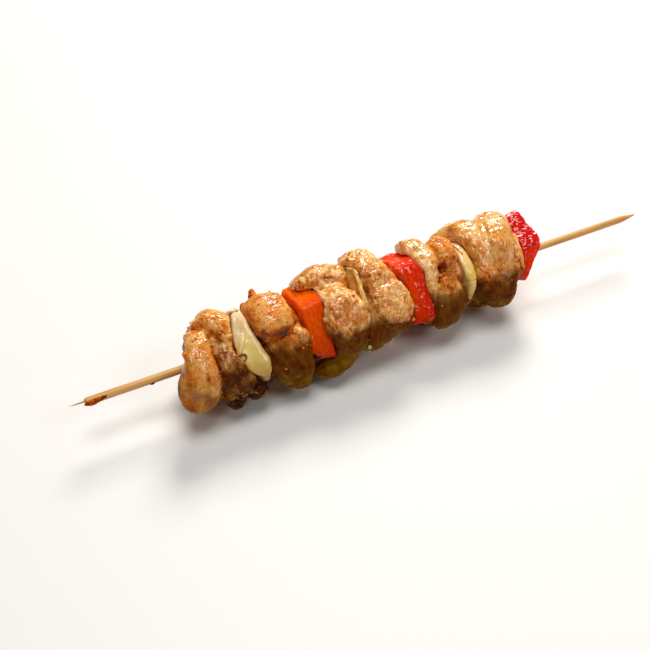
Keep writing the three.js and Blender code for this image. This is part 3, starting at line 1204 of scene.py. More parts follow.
@dataclass
class Pepper(Square):
    """A square of red pepper with its skin on one side, `ripe` from 0, orange, to 1, red."""

    skin: SkinSide = SkinSide.ALONG
    ripe: float = 0.3

    def skin_share(self, cube: Rows) -> Rows:
        """How near each point is to the skin side, 1 being on it."""
        axis, way = self.skin.value
        return cube[:, axis] * way

    def relief(self, points: Rows, cube: Rows) -> Rows:
        """Wet flesh with shallow cells, and skin that has puckered.

        Args:
            points: Points on the square, in millimetres.
            cube: The same points before the square was bent, from -1 to 1.

        Returns:
            How far each point moves out.
        """
        skin = fade(self.skin_share(cube), 0.8, 0.98)
        flesh = 0.22 * grain(points, 3.4, self.seed, 2) + 0.10 * grain(points, 1.3, self.seed + 1, 2)
        pucker = 0.30 * grain(points, (2.8, 1.5, 1.5), self.seed + 2, 2)
        return flesh * (1 - skin) + pucker * skin

    def layers(self, cube: Rows) -> dict[str, Rows]:
        """The skin and the ripeness."""
        return {"skin": self.skin_share(cube), "ripe": np.full(len(cube), self.ripe)}


@dataclass(frozen=True)
class PepperFinish:
    """Grilled red pepper: orange-red wet flesh under a deep red skin, with painted shade towards the bottom.
    """

    orange: str = "#fb6206"
    red: str = "#e82c05"
    deep: str = "#c81405"
    # painted shade, multiplied in towards the bottom
    low: str = "#a05a44"
    skin: str = "#c8140c"
    burn: str = "#230606"

    def material(self) -> Material:
        """The finish as a material.

        Returns:
            The material.
        """
        sheet = Sheet("grilled_pepper")
        at = sheet.millimetres()
        skin, burn, ripe = sheet.layer("skin"), sheet.layer("burn"), sheet.layer("ripe")
        broad, mottle, fleck = sheet.noise(at, 6.0, 2), sheet.noise(at, 1.6, 3), sheet.noise(at, 0.6, 2)
        lines = sheet.noise(at.drawn(1.1, 6, 6), 1.0, 3)
        depth = skin * 0.5 + (broad - 0.5) * 0.7 + (mottle - 0.5) * 0.3
        tone = (
            sheet.mix(self.orange, self.red, ripe + depth * 0.6)
            .under(self.deep, mottle.fade(0.5, 0.68) * 0.3)
            .under(self.deep, lines.fade(0.5, 0.66) * 0.4)
            # lighter orange flecks: partly the flesh's cells and partly painted glints
            .under(self.orange, fleck.fade(0.62, 0.72) * 0.5)
            # painted shade: darker towards the bottom
            .under(self.low, at.part("Z").fade(27, 13) * 0.85, "MULTIPLY")
            .under(self.skin, (skin + (mottle - 0.5) * 0.1).fade(0.78, 0.92))
            .under(self.burn, (burn + (mottle - 0.5) * 0.5).fade(0.3, 0.8) * 0.95)
        )
        gloss = broad * 0.6 + mottle * 0.6 + fleck * 0.3 + skin.fade(0.8, 0.95) * 0.2
        height = sheet.noise(at, 0.8, 3, 0.6) * 0.7 + sheet.voronoi(at, 1.2) * 0.5
        return sheet.skin({
            "Base Color": tone,
            "Roughness": 0.42 + mottle * 0.16,
            "Specular IOR Level": 0.02,
            "Coat Weight": gloss.fade(0.68, 0.93),
            "Coat Roughness": 0.05,
            "IOR": 1.4,
            "Subsurface Weight": 0.9,
            "Subsurface Radius": (1.0, 0.2, 0.04),
            "Subsurface Scale": 7.0 * MM,
            "Normal": sheet.bump(height, 0.24, 0.9),
        })


@dataclass
class Onion(Square):
    """A petal of onion: a thin curved wall with veins, and `golden` from 0 to 1."""

    wall: float = ONION_LAYER
    squareness: float = 2.7
    edge: float = 1.3
    steps: int = 56
    golden: float = 0.0

    def relief(self, points: Rows, cube: Rows) -> Rows:
        """Soft swells and low ribs that run up the petal."""
        ribs = grain(cube, (0.9, 0.085, 0.9), self.seed)
        return 0.14 * grain(points, 6.0, self.seed, 2) + 0.10 * ribs

    def layers(self, cube: Rows) -> dict[str, Rows]:
        """How golden it has turned."""
        return {"golden": np.full(len(cube), self.golden)}


@dataclass(frozen=True)
class OnionFinish:
    """Grilled onion: wet and see-through, with browned rims, and yellower and darker low down where shade is
    painted in.
    """

    white: str = "#f6d8a4"
    yellow: str = "#efd06e"
    golden: str = "#f0b850"
    # painted shade, multiplied in towards the bottom
    low: str = "#b08c5c"
    vein: str = "#dcb45c"
    brown: str = "#9c5218"

    def material(self) -> Material:
        """The finish as a material.

        Returns:
            The material.
        """
        sheet = Sheet("grilled_onion")
        at, cube = sheet.millimetres(), sheet.layer("cube", "Vector")
        burn, golden = sheet.layer("burn"), sheet.layer("golden")
        broad, mottle = sheet.noise(at, 7.0, 2) - 0.5, sheet.noise(at, 1.8, 3) - 0.5
        veins = sheet.noise(cube.drawn(1.0, 1 / 1.2, 1 / 14.0), 1.0, 2)
        along, across, up = (cube.part(axis) for axis in "XYZ")
        rim = across.most(0 - across).most(up.most(0 - up)).least(along.most(0 - along))
        tone = (
            sheet.mix(self.white, self.yellow, (across + broad * 1.2).fade(-0.5, 0.5))
            .under(self.golden, golden + mottle * golden)
            .under(self.vein, veins.fade(0.48, 0.64) * 0.6 + mottle.fade(0.0, 0.25) * 0.25)
            # painted shade: darker towards the bottom
            .under(self.low, at.part("Z").fade(28, 14) * 0.9, "MULTIPLY")
            .under(self.brown, (rim + mottle * 0.2).fade(0.78, 0.96) * 0.7)
            .under(self.brown, (burn + mottle * 0.6).fade(0.3, 0.9) * 0.9)
        )
        return sheet.skin({
            "Base Color": tone,
            "Roughness": 0.3 + mottle * 0.14,
            "Coat Weight": 0.6,
            "Coat Roughness": 0.08,
            "IOR": 1.38,
            "Subsurface Weight": 0.5,
            "Subsurface Radius": (1.0, 0.8, 0.45),
            "Subsurface Scale": 1.0 * MM,
            "Normal": sheet.bump(veins * 0.5 + sheet.noise(at, 1.0, 2) * 0.5, 0.18, 0.6),
        })


# ---------------------------------------------------------------- small things on the food


def ring(radius: float, thick: float) -> Mesh:
    """A ring in the XY plane.

    Args:
        radius: To the middle of its cord.
        thick: The radius of its cord.

    Returns:
        A new mesh.
    """
    work = bmesh.new()
    bmesh.ops.create_grid(work, x_segments=40, y_segments=12, size=1.0)
    for vert in work.verts:
        turn, roll = vert.co.x * math.pi, vert.co.y * math.pi
        out = radius + thick * math.cos(roll)
        vert.co = (out * math.cos(turn), out * math.sin(turn), thick * math.sin(roll))
    bmesh.ops.remove_doubles(work, verts=work.verts, dist=1e-4)
    bmesh.ops.recalc_face_normals(work, faces=work.faces)
    return mesh_from(work)


def landing(trees: Iterable[BVHTree], x: float, angle: float) -> tuple[Vector, Vector]:
    """Finds the food's surface from outside.

    Args:
        trees: The search trees of the food.
        x: Where along the stick.
        angle: Where round it, in degrees.

    Returns:
        The outermost place there, and which way is out.
    """
    out = Vector(outward(np.array(angle)).tolist())
    start = Vector((x, 0, 0)) + out * 40
    hits = (tree.ray_cast(start, -out)[0] for tree in trees)
    return min((spot for spot in hits if spot), key=lambda spot: (spot - start).length), out


@dataclass(frozen=True)
class BitFinish:
    """Toasted scraps between two shades."""

    name: str
    dark: str
    light: str
    coat: float = 0.3

    def material(self) -> Material:
        """The finish as a material.

        Returns:
            The material.
        """
        sheet = Sheet(self.name)
        shade = sheet.noise(sheet.millimetres(), 1.6, 2).fade(0.35, 0.65)
        return sheet.skin({
            "Base Color": sheet.mix(self.dark, self.light, shade),
            "Roughness": 0.45,
            "Specular IOR Level": 0.2,
            "Coat Weight": self.coat,
            "Coat Roughness": 0.1,
            "Subsurface Weight": 0.2,
            "Subsurface Radius": FLESH_SCATTER,
            "Subsurface Scale": 0.5 * MM,
        })


@dataclass
class Bits:
    """Grains of one kind that are scattered over the meat, `size` across at least and at
    most, and sunk in it by a share of their size."""

    name: str
    count: int
    size: tuple[float, float]
    seed: int
    finish: BitFinish
    sunk: float = 0.35

    def build(self, points: Rows, normals: Rows) -> Mesh:
        """All the grains as one mesh.

        Args:
            points: Places on the meat that they may stick to.
            normals: Which way the meat faces there.

        Returns:
            A new mesh.
        """
        pick = np.random.default_rng(self.seed)
        grains = []
        for i in pick.choice(len(points), self.count, replace=False):
            mesh = ball(2)
            size = pick.uniform(*self.size) / 2
            body = points_of(mesh) * pick.uniform(0.6, 1.2, 3) * size
            body *= 1 + 0.5 * grain(body / size, 0.9, float(i % 97))[:, None]
            move_points(mesh, body + points[i] + normals[i] * size * (1 - 2 * self.sunk))
            grains.append(mesh)
        return joined(grains)


BITS = (
    Bits("specks", 150, (0.25, 0.52), 5, BitFinish("ground_pepper", "#4a200c", "#7c3c14")),
    Bits("crumbs", 150, (0.5, 1.15), 9, BitFinish("toasted_crumbs", "#a8500e", "#e09a44")),
)


# ---------------------------------------------------------------- the stick


def rod(low: float, high: float, sides: int, rings: int) -> Mesh:
    """A closed rod of radius 1 along X.

    Args:
        low: Where it starts.
        high: Where it ends.
        sides: How many sides it has.
        rings: How many rings of points lie along it.

    Returns:
        A new mesh.
    """
    work = bmesh.new()
    bmesh.ops.create_cone(
        work, cap_ends=True, cap_tris=False, segments=sides, radius1=1.0, radius2=1.0, depth=high - low,
        matrix=Matrix.Translation(((low + high) / 2, 0, 0)) @ Matrix.Rotation(math.pi / 2, 4, "Y"),
    )
    long = [e for e in work.edges if abs(e.verts[0].co.x - e.verts[1].co.x) > 1]
    bmesh.ops.subdivide_edges(work, edges=long, cuts=rings)
    return mesh_from(work)


@dataclass
class Stick:
    """The bamboo stick: a rod sharpened at +X and snapped at -X, where a sliver stands on."""

    node: str = "skewer_stick"
    length: float = STICK_LENGTH
    radius: float = STICK_RADIUS

    def outline(self) -> Rows:
        """Rows of [x, share of the radius] along the rod.

        Returns:
            The rows, from the snapped end to the point.
        """
        half = self.length / 2
        snapped, shoulder = -half + SPLINTER_LENGTH, half - POINT_LENGTH
        return np.array([
            (snapped, 0.80), (snapped + 0.5, 0.93), (snapped + 1.2, 1.0), (shoulder, 1.0),
            (shoulder + POINT_LENGTH * 0.42, 0.72), (shoulder + POINT_LENGTH * 0.78, 0.34), (half, 0.03),
        ])

    def build(self) -> Mesh:
        """The rod and its sliver.

        Returns:
            The finished mesh.
        """
        outline = self.outline()
        body = rod(outline[0, 0], outline[-1, 0], 32, 320)
        points = points_of(body)
        share = np.interp(points[:, 0], outline[:, 0], outline[:, 1])
        facets = 1 + 0.018 * grain(points, (60, 0.5, 0.5), 2.0) + 0.02 * grain(points, (9, 1.2, 1.2), 5.0)
        points[:, 1:] *= (share * facets * self.radius)[:, None]
        move_points(body, points)
        snapped = outline[0, 0]
        sliver = rod(snapped - SPLINTER_LENGTH, snapped + SPLINTER_LENGTH, 10, 24)
        points = points_of(sliver)
        thin = np.clip((points[:, 0] - snapped + SPLINTER_LENGTH) / (2 * SPLINTER_LENGTH), 0.02, 1)
        points[:, 1:] *= (0.62 * self.radius * thin)[:, None]
        points[:, 2] += self.radius * 0.3
        move_points(sliver, points)
        return joined([body, sliver])

    def scrap(self) -> Mesh:
        """The browned meat that clings near the snapped end, with the values its finish reads.

        Returns:
            The finished mesh.
        """
        bundles = [
            Bundle([(-119.6, 1.1, 95, 0.7), (-116, 1.3, 80), (-111.2, 1.2, 55, 0.7)], 1.1, 0.8, fineness=4),
            Bundle([(-96, 1, 130), (-94, 1.1, 130)], 0.9, 0.8, fineness=3),
        ]
        mesh = joined([bundle.mesh(21.0 + i, 0.15) for i, bundle in enumerate(bundles)])
        points = points_of(mesh)
        lift = 0.22 * grain(points, 0.9, 3.0, 2)
        move_points(mesh, points + points_of(mesh, "normal") * lift[:, None])
        names = (*COOKED, "hollow", "pit", "seam")
        layers = {name: np.full(len(points), 0.8 if name == "browned" else 0.2) for name in names}
        write_layers(mesh, layers | {"spot": points_of(mesh)})
        return mesh


@dataclass(frozen=True)
class BambooFinish:
    """Dry bamboo with lengthwise grain, browner beside the food and at its tips."""

    light: str = "#dda961"
    mid: str = "#c28240"
    dark: str = "#7d4a20"

    def material(self) -> Material:
        """The finish as a material.

        Returns:
            The material.
        """
        sheet = Sheet("bamboo")
        at = sheet.millimetres()
        lines = sheet.noise(at.drawn(22, 0.28, 0.28), 1.0, 4, 0.6)
        bands = sheet.noise(at.drawn(30, 1.2, 1.2), 1.0, 2)
        stain = sheet.noise(at.drawn(7, 2, 2), 1.0, 3)
        x = at.part("X")
        food = x.fade(-92, -78) * x.fade(78, 64)
        tips = x.fade(-116, -124) + x.fade(117, 124)
        tone = (
            sheet.mix(self.light, self.mid, bands.fade(0.35, 0.7) * 0.8)
            .under(self.dark, lines.fade(0.55, 0.75) * 0.45)
            .under(self.dark, (food * 0.5 + tips * 0.7 + (stain - 0.5) * 0.9).fade(0.3, 1.0) * 0.7)
        )
        return sheet.skin({
            "Base Color": tone,
            "Roughness": 0.42 + lines * 0.2,
            "IOR": 1.45,
            "Normal": sheet.bump(lines, 0.12, 0.8),
        })


# ---------------------------------------------------------------- studio


@dataclass
class Studio:
    """The floor, the lights and the camera, placed in millimetres from the stick's middle."""

    camera_place: Spot = (-140.82, -228.31, 235.94)
    camera_azimuth: float = -26.733
    camera_elevation: float = 43.0
    lens: float = 50.66
    floor_size: float = 6000.0

    def floor(self) -> None:
        """A plain pale floor."""
        work = bmesh.new()
        bmesh.ops.create_grid(work, x_segments=2, y_segments=2, size=self.floor_size / 2 * MM)
        thing = thing_of("floor", mesh_from(work, "floor"))
        sheet = Sheet("pale_floor")
        tone = sheet.mix("#e9e7e4", "#eeedea", sheet.noise(sheet.millimetres(), 260.0, 2))
        thing.data.materials.append(sheet.skin({"Base Color": tone, "Roughness": 0.6}))
        thing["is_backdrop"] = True

    def lamp(self, name: str, spot: Spot, size: float, power: float, tint: str = "#ffffff") -> None:
        """A square soft light that faces the food.

        Args:
            name: Its name.
            spot: Its place from the middle of the stick, in millimetres.
            size: Its side, in millimetres.
            power: Its power, in watts.
            tint: Its colour.
        """
        data = bpy.data.lights.new(name, "AREA")
        data.size, data.energy, data.color = size * MM, power, paint(tint)[:3]
        thing = thing_of(name, data)
        thing.location = (Vector(spot) + Vector(MIDDLE)) * MM
        thing.rotation_euler = (-Vector(spot)).to_track_quat("-Z", "Y").to_euler()

    def world(self, strength: float) -> None:
        """Even pale light from all round.

        Args:
            strength: How bright it is.
        """
        world = bpy.data.worlds.new("studio")
        world.use_nodes = True
        back = world.node_tree.nodes["Background"]
        back.inputs["Color"].default_value = paint("#fbfaf8")
        back.inputs["Strength"].default_value = strength
        bpy.context.scene.world = world

    def camera(self) -> None:
        """The camera, level from side to side."""
        data = bpy.data.cameras.new("camera")
        data.lens, data.sensor_width = self.lens, 36.0
        thing = thing_of("camera", data)
        thing.location = (Vector(self.camera_place) + Vector(MIDDLE)) * MM
        tilt = math.radians(90 - self.camera_elevation)
        thing.rotation_euler = (tilt, 0, math.radians(self.camera_azimuth))
        bpy.context.scene.camera = thing

    def build(self) -> None:
        """Sets up the whole studio."""
        self.floor()
        self.lamp("window", (500, 760, 840), 460, 13.5, "#fffaf2")
        self.lamp("top", (-80, -60, 1280), 620, 9.0)
        self.lamp("front", (520, -760, 900), 420, 3.0)
        self.lamp("spark", (300, -700, 260), 90, 0.25)
        self.world(0.05)
        self.camera()
        bpy.context.scene.view_settings.view_transform = "Standard"


# ---------------------------------------------------------------- the kebab

CHUNKS = [
    Chunk("chicken_1", 1.3, (-77, -66, 11.5), [
        Bundle([(-76.4, 10.8, -24, 0.66), (-77.2, 11.4, 6, 0.68), (-78, 11.8, 30, 0.72),
            (-79.2, 11.8, 54, 0.88), (-80.6, 11.8, 78, 1.08), (-81.6, 12.6, 100, 1.1), (-82, 14, 126, 0.9)],
            6.9, 5.6, Flesh.SILKY, 6, 0.35, blunt=4, boxy=3.2),
        Bundle([(-77.4, 10.6, -34, 0.85), (-73.6, 11.4, -28), (-69.4, 11.6, -24, 1.1), (-66.4, 11, 0, 0.95),
            (-66, 10.8, 22, 0.62), (-66.4, 10.8, 42, 0.45)], 5.8, 5.8, Flesh.BUBBLY, 6),
        Bundle([(-68.8, 10.6, 24, 0.42), (-69.2, 11.2, 48, 0.64), (-68.8, 11.8, 70, 0.9),
            (-67.8, 13.2, 92, 1.08), (-67.2, 15.6, 110, 0.9)], 5.8, 5.2, Flesh.DUSKY, 6),
        Bundle([(-71, 12, 100, 0.9), (-69.4, 16, 116), (-69, 20, 130, 0.6)], 4, 3.8, Flesh.SEARED),
        Bundle([(-65, 11, 94), (-61.4, 14.8, 112), (-58.6, 18, 129, 0.8)], 4.8, 4.4, Flesh.SEARED),
        Bundle([(-70, 11, -54, 0.85), (-70, 11.5, -110), (-70, 12.6, -160), (-70, 13.6, -210, 0.8)], 9, 7,
            Flesh.BACK),
        Bundle([(-81, 13.6, 34, 1.1), (-83, 14.8, 30), (-83.8, 15.6, 23, 0.8)], 1.2, 0.8, Flesh.CRISP, 4,
            0.1),
    ], {
        "browned": [(-73.4, 42, 1.0, 10, 0.85, -0.6), (-67.5, 10, 4, 3.5, 0.6), (-65.4, 34, 1.6, 4, 0.75),
            (-88, 92, 5.5, 5, 0.85), (-78.4, 64, 0.9, 3.8, 0.7), (-76.8, -9, 2.2, 5, 0.6),
            (-73, -92, 5, 4, 0.9), (-67, -140, 5, 3, 0.8, 0, 20)],
        "char": [(-72.8, 24, 1.6, 3, 0.55), (-66, 114, 9, 6, 0.95), (-60, 104, 5, 7, 0.9)],
        "pale": [(-70.2, 33, 2.2, 3, 0.95, 0.5), (-79, 22, 3, 4, 0.9)],
        "wet": [(-81, 42, 3, 6), (-84, 80, 3, 6, 0.9), (-70, -4, 5, 4)],
    }, soft=26),
    Chunk("chicken_2", 4.1, (-57, -36, 11), [
        Bundle([(-56.8, 9.4, 6, 0.9), (-52, 10.8, 4, 1.02), (-46.4, 10.8, 2), (-41.2, 10, 2, 0.92)], 9.6, 6.8,
            Flesh.DOME, 6, 0.12, blunt=3.6, boxy=3.2),
        Bundle([(-50.6, 7, 40), (-48.6, 8.8, 64, 1.05), (-46.4, 12.4, 90, 1.05), (-44.6, 16.4, 114, 0.85),
            (-43.6, 20.9, 131, 0.45)], 8.2, 5.6, Flesh.FAN, 6, 0.35),
        Bundle([(-41.2, 10.8, 46), (-41.4, 12, 84, 0.8)], 4, 4.6, Flesh.TOASTED),
        Bundle([(-41.2, 11.6, 42), (-41.8, 11.8, 58)], 2.7, 3.8, Flesh.CURD, 4, 0.3),
        Bundle([(-51, 15, -34), (-50.2, 18.2, -40, 0.9), (-49.8, 20.4, -43, 0.5)], 1.7, 1.0, Flesh.CRISP, 4,
            0.1),
        Bundle([(-56, 13, -26), (-55, 15.8, -36, 0.8)], 1.8, 1.4, Flesh.CRISP, 4, 0.1),
        nub(-48.2, 16.6, -34, 1.1),
        nub(-46, 17, -38, 1.0),
        nub(-43.6, 16.2, -38, 1.2),
        Bundle([(-47, 10.4, -42, 0.9), (-47, 11, -100), (-47, 12, -150), (-46, 13.2, -205, 0.8)], 9.8, 7.2,
            Flesh.BACK),
    ], {
        "browned": [(-48, 42, 9.5, 3.2, 0.85, 0, 0, 0.2), (-57.4, 20, 1.8, 7, 0.4, 0, 0, 0.2),
            (-55, 37, 3, 2.6, 0.95), (-41.7, 32, 1.8, 3, 0.7), (-49, -33, 9, 3, 0.8),
            (-47, 56, 6.5, 2.2, 0.6), (-44, -96, 6, 4, 0.85, 0, -15)],
        "wet": [(-41.4, 50, 2.6, 5), (-50, 16, 5, 4, 0.9), (-54, 34, 3, 2)],
        "gold": [(-52, 4, 6, 6, 0.9)],
        "pale": [(-51, -128, 4, 7, 0.9)],
    }, soft=26),
    Chunk("chicken_3", 7.7, (-34, -10, 13.2), [
        Bundle([(-36.2, 12.4, -42, 0.75), (-29, 13.2, -41), (-21, 13.6, -37, 1.05), (-11.6, 13.8, -32, 0.9)],
            8.6, 7, Flesh.FOAM, 6),
        Bundle([(-24.4, 11.4, -16, 0.9), (-23.6, 11.2, 18, 1.04), (-22.8, 11.2, 50, 1.12), (-23, 11.4, 84),
            (-24, 12, 115, 0.9), (-26.4, 13, 140, 0.7)], 8.3, 7.2, Flesh.FOAM, 6, boxy=3.2),
        Bundle([(-27.6, 13.6, -2), (-26.8, 13.8, 18, 0.9)], 3.8, 3.6, Flesh.FOAM),
        Bundle([(-23.2, 13.6, 26), (-21.8, 13.6, 40, 1.1)], 4, 4.2, Flesh.FOAM),
        Bundle([(-21, 12.4, 92, 0.9), (-25.6, 15.8, 114), (-31.6, 17.4, 126, 0.9), (-37.6, 16.6, 131, 0.5)],
            5.4, 4.6, Flesh.FAN),
        Bundle([(-23, 11, -68, 0.85), (-23, 11.4, -120), (-23, 12.4, -175), (-23, 12, -225, 0.85)], 9.2, 7.6,
            Flesh.BACK),
    ], {
        "browned": [(-34.5, -12, 4, 6, 0.7), (-28.3, 34, 1.4, 5, 0.6), (-17, 10, 2.2, 3, 0.75, -0.6),
            (-27, -30, 6, 3, 0.5), (-27, -112, 5, 6, 0.9)],
        "gold": [(-23.5, -13, 3, 2), (-25, 66, 5, 3, 0.9)],
        "wet": [(-21.5, 28, 1.6, 3, 1.0, 0.5), (-20, -30, 4, 4), (-24, 4, 3, 5)],
        "pale": [(-18, -138, 4, 6, 0.8)],
        # the dusky patches darken the crevice beside onion_2 as painted shade
        "dusky": [(-14, 46, 3, 9, 0.7), (-16, 84, 4, 8, 0.4)],
    }, soft=90),
    Chunk("chicken_4", 11.2, (-16, 5, 12.5), [
        Bundle([(-8.6, 14, -62, 0.85), (-7.8, 15.2, -40, 1.05), (-6.8, 13.6, -14), (-5.4, 11.8, 14, 0.98),
            (-4.6, 11.4, 42, 0.95)], 7.4, 7.2, Flesh.FOAM, 6),
        Bundle([(-5.6, 10, 2, 0.9), (-4.4, 11.2, 34, 1.1), (-4.2, 11.2, 64, 1.16), (-5.4, 11.2, 92, 1.05),
            (-7, 11.4, 120, 0.8)], 7.8, 7, Flesh.FOAM, 6, boxy=3.4),
        Bundle([(-11, 10.8, 34, 0.9), (-11.2, 11.4, 80), (-11, 11.8, 112), (-10.6, 12, 142, 0.8)], 7, 6.4,
            Flesh.FAN),
        Bundle([(-6, 11.4, -66, 0.85), (-6, 11.4, -120), (-6, 12.4, -170), (-6, 12, -220, 0.85)], 9, 7.6,
            Flesh.BACK),
    ], {
        "browned": [(-10.5, -36, 3, 4, 0.75), (0.4, 60, 1.6, 6, 0.5), (0, 88, 5, 3, 0.5),
            (-3, -100, 6, 4, 0.85, 0, 10)],
        "gold": [(-1, 76, 6, 3), (-9, 20, 1.6, 6, 0.9)],
        "wet": [(-6, -10, 4, 8), (-4, 44, 3, 8)],
        # keeps the painted low shade off this front flank
        "steeped": [(-2, 64, 6, 6, 0.1)],
        "pale": [(-9, -130, 5, 4, 0.8), (-6, -28, 6, 8), (-2, 46, 5, 9, 0.9)],
        # the dusky patch darkens the crevice beside onion_2 as painted shade
        "dusky": [(-11.4, 42, 2.4, 9, 0.5)],
    }, soft=90),
    Chunk("chicken_5", 14.9, (12, 31, 11), [
        Bundle([(13.2, 17.2, -54, 0.7), (15, 15.4, -34, 1.1), (16, 13, -6, 1.05), (15.8, 12.4, 20, 0.95),
            (14.6, 12.8, 42, 0.6), (14, 13, 66, 0.42), (14, 13, 92, 0.35)], 4.6, 4.6, Flesh.SLICE, 6, 0.25,
            blunt=4, boxy=4),
        Bundle([(20, 10.6, -6, 0.9), (25, 11.2, -5, 1.1), (30.4, 11, 0, 0.95)], 7.6, 6.6, Flesh.TOASTED, 6,
            0.4, blunt=3.4),
        Bundle([(18.2, 12.4, 46, 0.9), (20.8, 12.8, 54)], 3.8, 4.4, Flesh.TOASTED, 5, 0.3),
        Bundle([(27.6, 10.8, 26, 0.95), (28, 10.6, 58)], 3.6, 4.4, Flesh.TOASTED, 5, 0.3),
        Bundle([(23.4, 8.4, 48, 0.85), (22.4, 10.6, 74, 1.05), (19.8, 12.8, 98, 1.05), (17, 16.6, 123, 0.95)],
            7.6, 6, Flesh.FAN, 6),
        Bundle([(21, 9.8, -52, 0.85), (21, 11, -115), (21, 12.4, -165), (20, 13.4, -215, 0.8)], 9.4, 7,
            Flesh.BACK),
    ], {
        "browned": [(14, -46, 3, 4, 0.95), (22, 2, 3, 3, 0.7), (27, -16, 3, 3, 0.5),
            # the grooved patch at (21, 27) browns the crease under the top, partly its own colour and partly
            # painted shade
            (21, 27, 5.5, 1.6, 0.8, -0.4), (28, 44, 3, 5, 0.7), (20, 38, 4, 1.2, 0.9), (16, 122, 7, 3, 0.95),
            (18, -104, 4, 6, 0.85)],
        "gold": [(19.6, 50, 3, 3)],
        "pale": [(25, -132, 5, 4, 0.8)],
        "wet": [(16, 0, 3, 10, 0.95), (26, -4, 4, 4)],
    }, soft=22),
    Chunk("chicken_6", 18.4, (34, 54, 12.5), [
        Bundle([(28.6, 9.6, -66, 0.7), (32, 12.4, -50, 0.95), (38, 14.2, -37, 1.02), (40.6, 13, -14, 1.05),
            (41, 11.6, 12), (41, 11, 36, 1), (40.6, 10.8, 62, 0.95)], 8, 7, Flesh.GLAZED, 6, 0.4),
        Bundle([(54.4, 13, -58, 0.8), (53, 14.2, -36), (49.6, 14, -4), (46.6, 12.8, 30),
            (44.6, 11.6, 60, 0.9)], 7.2, 6.8, Flesh.GLAZED, 6, 0.4),
        Bundle([(54, 11.4, -8, 0.7), (52.4, 11.6, 20, 0.95), (50.8, 11.4, 50), (49.6, 11.2, 80, 0.95),
            (48, 12, 100, 0.8)], 5.4, 5.2, Flesh.FACET, 6, 0.3, boxy=4),
        Bundle([(36.5, 9.8, 32, 0.8), (40, 11.2, 64, 1.05), (42.8, 12.4, 94, 0.95), (44.6, 12.8, 126, 0.75)],
            7, 6.8, Flesh.TOASTED, 6),
        Bundle([(48.4, 10, 66, 0.8), (47, 11.8, 90, 0.9), (45.8, 13, 116, 0.9), (45.4, 13, 144, 0.75)], 6.2,
            6.6, Flesh.TOASTED),
        Bundle([(55.4, 12, -2, 0.8), (55.2, 12.8, 16), (54.6, 13, 32, 0.8)], 2.7, 2.8, Flesh.FACET, 4, 0.1,
            boxy=4),
        Bundle([(45, 11.8, -62, 0.85), (45, 12, -120, 1.1), (46, 12.4, -170, 0.9), (47, 12.4, -220, 0.7)], 10,
            7.6, Flesh.BACK),
    ], {
        "browned": [(32, -14, 4, 6, 0.3), (36, 60, 3, 6, 0.65), (42, 48, 5, 4, 0.5), (43, 96, 8, 6, 0.42),
            (53, 58, 0.9, 9, 0.9, 0, -12), (50.6, 66, 0.9, 8, 0.8, 0, -12), (50, -42, 3, 5, 0.6),
            (38, 20, 3, 5, 0.5), (55, 20, 0.7, 6, 0.95, -0.7), (40, -104, 5, 5, 0.85), (51, -126, 5, 4, 0.7)],
        "wet": [(48, -4, 5, 13), (38, 10, 3, 8)],
        "pale": [(52, 40, 1.2, 7, 1.0, 0, -12), (46, -90, 3, 4, 0.9)],
        "gold": [(49, 86, 2, 6, 0.9)],
    }, soft=60),
]

PEPPERS = [
    Pepper("pepper_1", -34, [(18.4, 17), (19.2, 96), (17, 190), (20, -56)], (0.4, 0.2), 2.2,
        [(-37.6, 94, 3.2, 2.0), (-39, 12, 0.7, 0.8), (-31, 100, 4, 1.4, 0.7)], flare=0.12, waist=0.03,
        ripe=0.1),
    Pepper("pepper_2", 8, [(19.4, 8), (19.4, 92), (17, 184), (19.4, -64)], (2.4, 0.8), 5.9,
        [(1.6, -20, 0.7, 2.4, 0.7), (9, 96, 4.5, 1.2, 0.6)], flare=0.06, waist=0.03, lean=-0.09, ripe=0.85),
    Pepper("pepper_3", 60, [(20.6, -25), (17, 38, 1.6, 1), (14, 106, -3.4, 0.3), (17, -118, -1, 0.6)],
        (0.5, 0.6), 9.1, [], flare=0.1, waist=0.04, skin=SkinSide.UP, ripe=0.85),
]

ONIONS = [
    Onion("onion_1", -57.7, [(20, -8, -3, 1.4), (19.4, 92, 1, 0.8), (17, 172, -1, 1), (20, -98, -2, 1)],
        (-1.8, 0), 3.3, [(-61, -8, 4.5, 1.2), (-62.6, 84, 5, 1.0, 1.0, 0, 40), (-65.6, 40, 1.2, 3, 0.7)],
        belly=2.1, squareness=4.5, edge=0.9, folds=[(-62.9, 38, 5, 1.2, 1.0, 1.1, -57, 0.1)]),
    Onion("onion_2", -13, [(22.4, -6, 0, 0.9), (16, 60), (19, 126), (20.6, -80)], (-1.2, -0.8), 6.6,
        [(-12.6, 4, 0.5, 6, 1.0, 0, -10)], lean=0.04, wall=2.2, edge=0.8, golden=0.9),
    Onion("onion_3", 30.6, [(18.8, -14), (19.6, 60), (16.6, 138), (17, -105)], (-0.4, -0.4), 8.8,
        [(31, 6, 0.6, 6, 1.0, 0, -6), (30, 34, 0.5, 4, 0.7)], lean=0.11, belly=0.5, golden=0.35),
]


